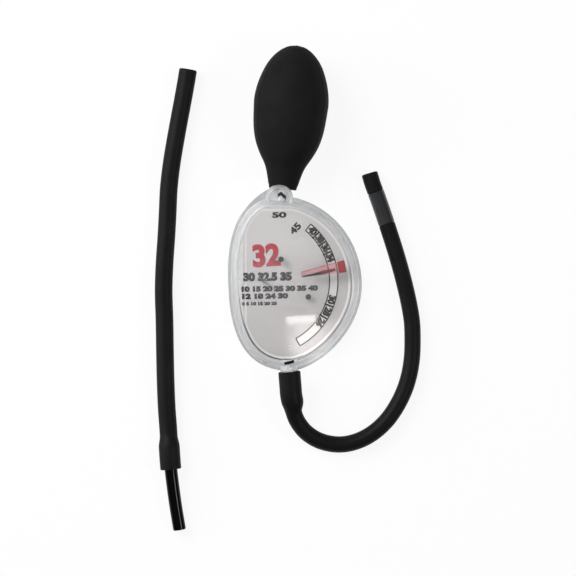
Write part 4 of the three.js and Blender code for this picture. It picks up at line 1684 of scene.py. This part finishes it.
@dataclass
class ExtensionSet:
    """Loose extension hose with a suction tube in its end.

    The route is in metres in the scene, from the hose's upper tip to the tube's lower end.
    """

    radius: float = 5.6 * MM
    bore: float = 3.7 * MM
    swell_radius: float = 6.6 * MM
    taper: float = 7.0 * MM
    seat: float = 14.0 * MM
    hose_length: float = 250.2 * MM
    tube_radius: float = 4.0 * MM
    tube_bore: float = 2.7 * MM
    streak: float = 0.08 * MM
    tip_round: float = 1.1 * MM
    tip_room: float = 1.1
    tip_steps: int = 4
    edge: float = 0.5 * MM
    fit: float = 0.1 * MM
    bore_step: float = 0.2 * MM
    tube_edge: float = 0.4 * MM
    route: tuple[Place, ...] = (
        (-0.0663, 0.0934, 0.0057), (-0.0677, 0.0849, 0.0057), (-0.0697, 0.0738, 0.0057),
        (-0.0718, 0.0626, 0.0057), (-0.0745, 0.0477, 0.0057), (-0.0767, 0.0341, 0.0057),
        (-0.0784, 0.0192, 0.0057), (-0.0791, 0.0043, 0.0057), (-0.0799, -0.0106, 0.0057),
        (-0.0810, -0.0267, 0.0057), (-0.0816, -0.0440, 0.0057), (-0.0811, -0.0626, 0.0057),
        (-0.0808, -0.0812, 0.0057), (-0.0804, -0.0998, 0.0057), (-0.0797, -0.1172, 0.0057),
        (-0.0787, -0.1308, 0.0060), (-0.0780, -0.1432, 0.0067), (-0.0773, -0.1531, 0.0067),
        (-0.0762, -0.1631, 0.0064), (-0.0742, -0.1780, 0.0054), (-0.0717, -0.1933, 0.0046))

    def build(self) -> None:
        path = Path(list(self.route))
        edge, seat_start, seat_bore = self.edge, self.hose_length - self.seat, self.tube_radius + self.fit
        tip = reversed(quarter_round(0.0, 0.0, self.tip_round, self.tip_steps))
        outside = [(self.tip_round - distance, self.radius - inset) for inset, distance in tip]
        outside += stations([
            (self.tip_round * self.tip_room, self.radius), (seat_start - self.taper, self.radius),
            (seat_start, self.swell_radius), (self.hose_length - edge, self.swell_radius)])
        outside += [(self.hose_length, self.swell_radius - edge)]
        inside = [(self.hose_length, seat_bore), (seat_start, seat_bore)]
        inside += stations([(seat_start - self.bore_step, self.bore), (0.0, self.bore)])
        hose = mesh_object("extension_hose_rubber", *path.tube(outside + inside, streak=self.streak))
        finish_piece(hose, HOSE_RUBBER, "extension", "extension_hose")
        end, edge = path.length, self.tube_edge
        wall = stations([(seat_start, self.tube_radius), (end - edge, self.tube_radius)])
        wall += [(end, self.tube_radius - edge), (end - HAIR, self.tube_bore), (seat_start, self.tube_bore)]
        tube = mesh_object("suction_tube", *path.tube(wall))
        finish_piece(tube, TUBE, "extension", "extension_tube")
        tuple(path.at(self.hose_length))


# The studio


@dataclass(frozen=True)
class SoftLamp:
    """A soft oval lamp that looks at the object."""

    name: str
    at: Place
    width: float
    watts: float
    flat: float = 1.0


@dataclass(frozen=True)
class SoftEdge:
    """One edge of a patch of light: where it is dark and bright on an axis, and whether it is uneven."""

    dark: float
    bright: float
    axis: str
    broken: bool


@dataclass
class Studio:
    """Pale floor, soft lamps and a camera straight above, as the photograph was taken."""

    pixel: float = 0.62 * MM
    frame_pixels: int = 576
    pivot_pixel: Flat = (264.1, 281.4)
    camera_height: float = 3.0
    sensor: float = 36.0
    horizon: float = 0.1
    zenith: float = 0.32
    glare_at: Place = (0.0226, -0.2118, 1.3)
    glare_size: Flat = (0.055, 0.038)
    glare_watts: float = 0.06
    glare_parts: Flat = (0.1, 0.6)
    patch_lamp: Place = (0.1, 0.2, 1.3)
    patch_watts: float = 36.0
    patch_tint: str = "#fffaf8"
    patch_start: Flat = (-6.4 * MM, -86.8 * MM)
    patch_size: Flat = (38.1 * MM, 26.7 * MM)
    patch_softness: float = 2 * MM
    card_height: float = 15 * MM
    field_edges: tuple[SoftEdge, ...] = (
        SoftEdge(-0.12, 0.1, "Y", True), SoftEdge(0.96, 0.72, "Y", False),
        SoftEdge(0.0, 0.22, "X", True), SoftEdge(0.92, 0.5, "X", True))
    strip_edges: tuple[SoftEdge, ...] = (
        SoftEdge(0.76, 0.9, "Y", False), SoftEdge(0.52, 0.44, "X", False), SoftEdge(-0.04, 0.06, "X", False))
    blot_scale: float = 3.0
    blot_detail: float = 2.0
    blot_depth: float = 0.5
    lamps: tuple[SoftLamp, ...] = (
        SoftLamp("key_lamp", (-0.9, 0.7, 1.3), 0.9, 21.5), SoftLamp("side_lamp", (-1.3, 0.1, 0.5), 0.7, 7.0),
        SoftLamp("fill_lamp", (1.1, -0.3, 1.2), 0.4, 6.0))
    view_end: float = 20.0
    table_radius: float = 3.0
    table_heights: Flat = (-0.01, -0.0003)
    table_sides: int = 64
    table_colour: str = "#f4f4f4"
    table_glow: float = 0.9
    sky_top: float = 0.9

    def camera(self, pivot: Vector) -> None:
        """Looks straight down, with the pivot at its place in the frame.

        Args:
            pivot: where the pointer's pivot stands.
        """
        middle = self.frame_pixels / 2
        across = pivot.x + (middle - self.pivot_pixel[0]) * self.pixel
        up = pivot.y + (self.pivot_pixel[1] - middle) * self.pixel
        data = bpy.data.cameras.new("camera")
        data.sensor_width = self.sensor
        data.lens = self.sensor * self.camera_height / (self.frame_pixels * self.pixel)
        data.clip_end = self.view_end
        camera = bpy.data.objects.new("camera", data)
        camera.location = (across, up, pivot.z + self.camera_height)
        bpy.context.scene.collection.objects.link(camera)
        bpy.context.scene.camera = camera

    def floor(self) -> None:
        """A pale table that the camera sees nearly white, with the object's shadow on it."""
        rings = [circle(self.table_radius, height, self.table_sides) for height in self.table_heights]
        table = mesh_object("pale_table", *loft(rings))
        made = bpy.data.materials.new("pale_table_laminate")
        made.use_nodes = True
        tree = made.node_tree
        tree.nodes.clear()
        cloth = add_node(tree, "ShaderNodeBsdfDiffuse", {"Color": linear(self.table_colour)})
        glow = add_node(tree, "ShaderNodeEmission", {"Color": linear(WHITE), "Strength": 1.0})
        rays = add_node(tree, "ShaderNodeLightPath")
        seen = add_node(tree, "ShaderNodeMath", {"operation": "MAXIMUM"},
                        {0: rays.outputs["Is Camera Ray"], 1: rays.outputs["Is Transmission Ray"]})
        seen = add_node(tree, "ShaderNodeMath", {"operation": "MAXIMUM"},
                        {0: seen.outputs[0], 1: rays.outputs["Is Glossy Ray"]})
        part = add_node(tree, "ShaderNodeMath", {"operation": "MULTIPLY", 1: self.table_glow},
                        {0: seen.outputs[0]})
        mix = add_node(tree, "ShaderNodeMixShader",
                       links={0: part.outputs[0], 1: cloth.outputs[0], 2: glow.outputs[0]})
        add_node(tree, "ShaderNodeOutputMaterial", links={"Surface": mix.outputs[0]})
        table.data.materials.append(made)
        table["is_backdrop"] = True

    def world(self) -> None:
        """Pale surroundings that darken towards the horizon, as a room does round a table."""
        made = bpy.data.worlds.new("studio")
        bpy.context.scene.world = made
        made.use_nodes = True
        tree = made.node_tree
        tree.nodes.clear()
        coordinates = add_node(tree, "ShaderNodeTexCoord")
        axes = add_node(tree, "ShaderNodeSeparateXYZ", links={0: coordinates.outputs["Generated"]})
        height = add_node(tree, "ShaderNodeMapRange", {
            "From Min": 0.0, "From Max": self.sky_top, "To Min": self.horizon, "To Max": self.zenith},
            {"Value": axes.outputs["Z"]})
        back = add_node(tree, "ShaderNodeBackground", {"Color": linear(WHITE)},
                        {"Strength": height.outputs["Result"]})
        add_node(tree, "ShaderNodeOutputWorld", links={"Surface": back.outputs[0]})

    def lamp(self, soft: SoftLamp) -> bpy.types.Light:
        """Hangs a soft lamp.

        Args:
            soft: its name, place, width, power, and its height as a share of its width.

        Returns:
            The lamp's light.
        """
        data = bpy.data.lights.new(soft.name, "AREA")
        data.shape = "ELLIPSE"
        data.size, data.size_y, data.energy = soft.width, soft.width * soft.flat, soft.watts
        lamp = bpy.data.objects.new(soft.name, data)
        lamp.location = soft.at
        lamp.rotation_mode = "QUATERNION"
        lamp.rotation_quaternion = (-Vector(soft.at)).to_track_quat("-Z", "Y")
        bpy.context.scene.collection.objects.link(lamp)
        return data

    def product(self, tree: bpy.types.NodeTree, ramps: list[bpy.types.NodeSocket],
                share: float) -> bpy.types.NodeSocket:
        """Multiplies ramps with each other and with a share.

        Args:
            tree: the lamp's nodes.
            ramps: the values to multiply.
            share: the number to multiply them with.

        Returns:
            The product.
        """
        value = share
        for ramp in ramps:
            step = add_node(tree, "ShaderNodeMath", {"operation": "MULTIPLY"}, {0: ramp})
            if isinstance(value, float):
                step.inputs[1].default_value = value
            else:
                tree.links.new(value, step.inputs[1])
            value = step.outputs[0]
        return value

    def fades(self, tree: bpy.types.NodeTree, axes: dict[str, bpy.types.NodeSocket],
              spot: bpy.types.NodeSocket, edges: tuple[SoftEdge, ...],
              strength: float) -> bpy.types.NodeSocket:
        """A patch of light with soft edges.

        Args:
            tree: the lamp's nodes.
            axes: the patch's own coordinates, 0 to 1, by name.
            spot: the vector that the unevenness follows.
            edges: its edges.
            strength: how bright the patch is.

        Returns:
            Its brightness.
        """
        blots = add_node(tree, "ShaderNodeTexNoise", {"Scale": self.blot_scale, "Detail": self.blot_detail},
                         {"Vector": spot})
        uneven = add_node(tree, "ShaderNodeMath", {
            "operation": "MULTIPLY_ADD", 1: self.blot_depth, 2: -self.blot_depth / 2},
            {0: blots.outputs["Fac"]})
        ramps = []
        for edge in edges:
            value = axes[edge.axis]
            if edge.broken:
                added = add_node(tree, "ShaderNodeMath", {"operation": "ADD"},
                                 {0: value, 1: uneven.outputs[0]})
                value = added.outputs[0]
            ramp = add_node(tree, "ShaderNodeMapRange", {
                "From Min": edge.dark, "From Max": edge.bright, "interpolation_type": "SMOOTHSTEP"},
                {"Value": value})
            ramps.append(ramp.outputs[0])
        return self.product(tree, ramps, strength)

    def lamp_nodes(self, data: bpy.types.Light) -> tuple[bpy.types.NodeTree, bpy.types.Node]:
        """Clears a lamp's nodes and adds its geometry.

        Args:
            data: the lamp's light.

        Returns:
            Its node tree and the geometry node.
        """
        data.use_nodes = True
        data.node_tree.nodes.clear()
        return data.node_tree, add_node(data.node_tree, "ShaderNodeNewGeometry")

    def light_up(self, tree: bpy.types.NodeTree, strength: bpy.types.NodeSocket) -> None:
        """Lets a lamp shine with a strength made by nodes.

        Args:
            tree: the lamp's nodes.
            strength: the socket that gives the strength.
        """
        light = add_node(tree, "ShaderNodeEmission", {"Color": linear(self.patch_tint)},
                         {"Strength": strength})
        add_node(tree, "ShaderNodeOutputLight", links={"Surface": light.outputs[0]})

    def glare(self) -> None:
        """A small cloth box that mirrors in the window: bright along one edge, and faint in the rest."""
        width, height = self.glare_size
        data = self.lamp(SoftLamp("window_glare", self.glare_at, width, self.glare_watts, height / width))
        data.shape = "RECTANGLE"
        tree, place = self.lamp_nodes(data)
        spot = place.outputs["Parametric"]
        axes = dict(add_node(tree, "ShaderNodeSeparateXYZ", links={0: spot}).outputs.items())
        field = self.fades(tree, axes, spot, self.field_edges, self.glare_parts[0])
        strip = self.fades(tree, axes, spot, self.strip_edges, self.glare_parts[1])
        whole = add_node(tree, "ShaderNodeMath", {"operation": "ADD"}, {0: field, 1: strip})
        self.light_up(tree, whole.outputs[0])

    def gathered_light(self) -> None:
        """Light that the casing's rim gathers on the card, under the print: a lamp on that patch alone.

        In a lamp's nodes, Incoming is the direction from the lamp to what it lights, so the patch lies where
        it is on the card from every side.
        """
        data = bpy.data.lights.new("gathered_light", "POINT")
        data.energy = self.patch_watts
        data.shadow_soft_size = self.patch_softness
        lamp = bpy.data.objects.new("gathered_light", data)
        lamp.location = self.patch_lamp
        bpy.context.scene.collection.objects.link(lamp)
        tree, place = self.lamp_nodes(data)
        way = add_node(tree, "ShaderNodeSeparateXYZ", links={0: place.outputs["Incoming"]})
        drop = self.patch_lamp[2] - self.card_height
        axes = {}
        for i, axis in enumerate("XY"):
            slope = add_node(tree, "ShaderNodeMath", {"operation": "DIVIDE"},
                             {0: way.outputs[axis], 1: way.outputs["Z"]})
            size = self.patch_size[i]
            start = (self.patch_lamp[i] - self.patch_start[i]) / size
            share = add_node(tree, "ShaderNodeMath", {
                "operation": "MULTIPLY_ADD", 1: -drop / size, 2: start}, {0: slope.outputs[0]})
            axes[axis] = share.outputs[0]
        spot = add_node(tree, "ShaderNodeCombineXYZ", links=axes).outputs[0]
        self.light_up(tree, self.fades(tree, axes, spot, self.field_edges, 1.0))

    def build(self, pivot: Vector) -> None:
        """Sets up the camera, the floor, the world and the lamps.

        Args:
            pivot: where the pointer's pivot stands.
        """
        self.camera(pivot)
        self.floor()
        self.world()
        for soft in self.lamps:
            self.lamp(soft)
        self.glare()
        self.gathered_light()
        bpy.context.scene.view_settings.view_transform = "Standard"


def corners() -> list[list[float]]:
    """The lowest and highest corners of what is shown now."""
    low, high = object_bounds()
    return [list(map(float, low)), list(map(float, high))]


def main() -> None:
    """Builds the tool's pieces and the studio."""
    logging.basicConfig(level=logging.INFO, format="%(name)s: %(message)s")
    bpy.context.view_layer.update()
    tool = ToolFrame.from_hinge("pointer_swing")
    place = tool.matrix()
    Studio().build(tool.pivot)
    casing = Casing(place)
    IntakeHose(place, casing).build()
    ExtensionSet().build()
    casing.build()
    Dial(place, casing).build()
    FloatAndPointer(place).build()
    SqueezeBulb(place, casing).build()
    frame["nodes"]["pivot_pin"].data.materials.clear()
    frame["nodes"]["pivot_pin"].data.materials.append(STEEL.material())


if __name__ == "__main__":
    main()
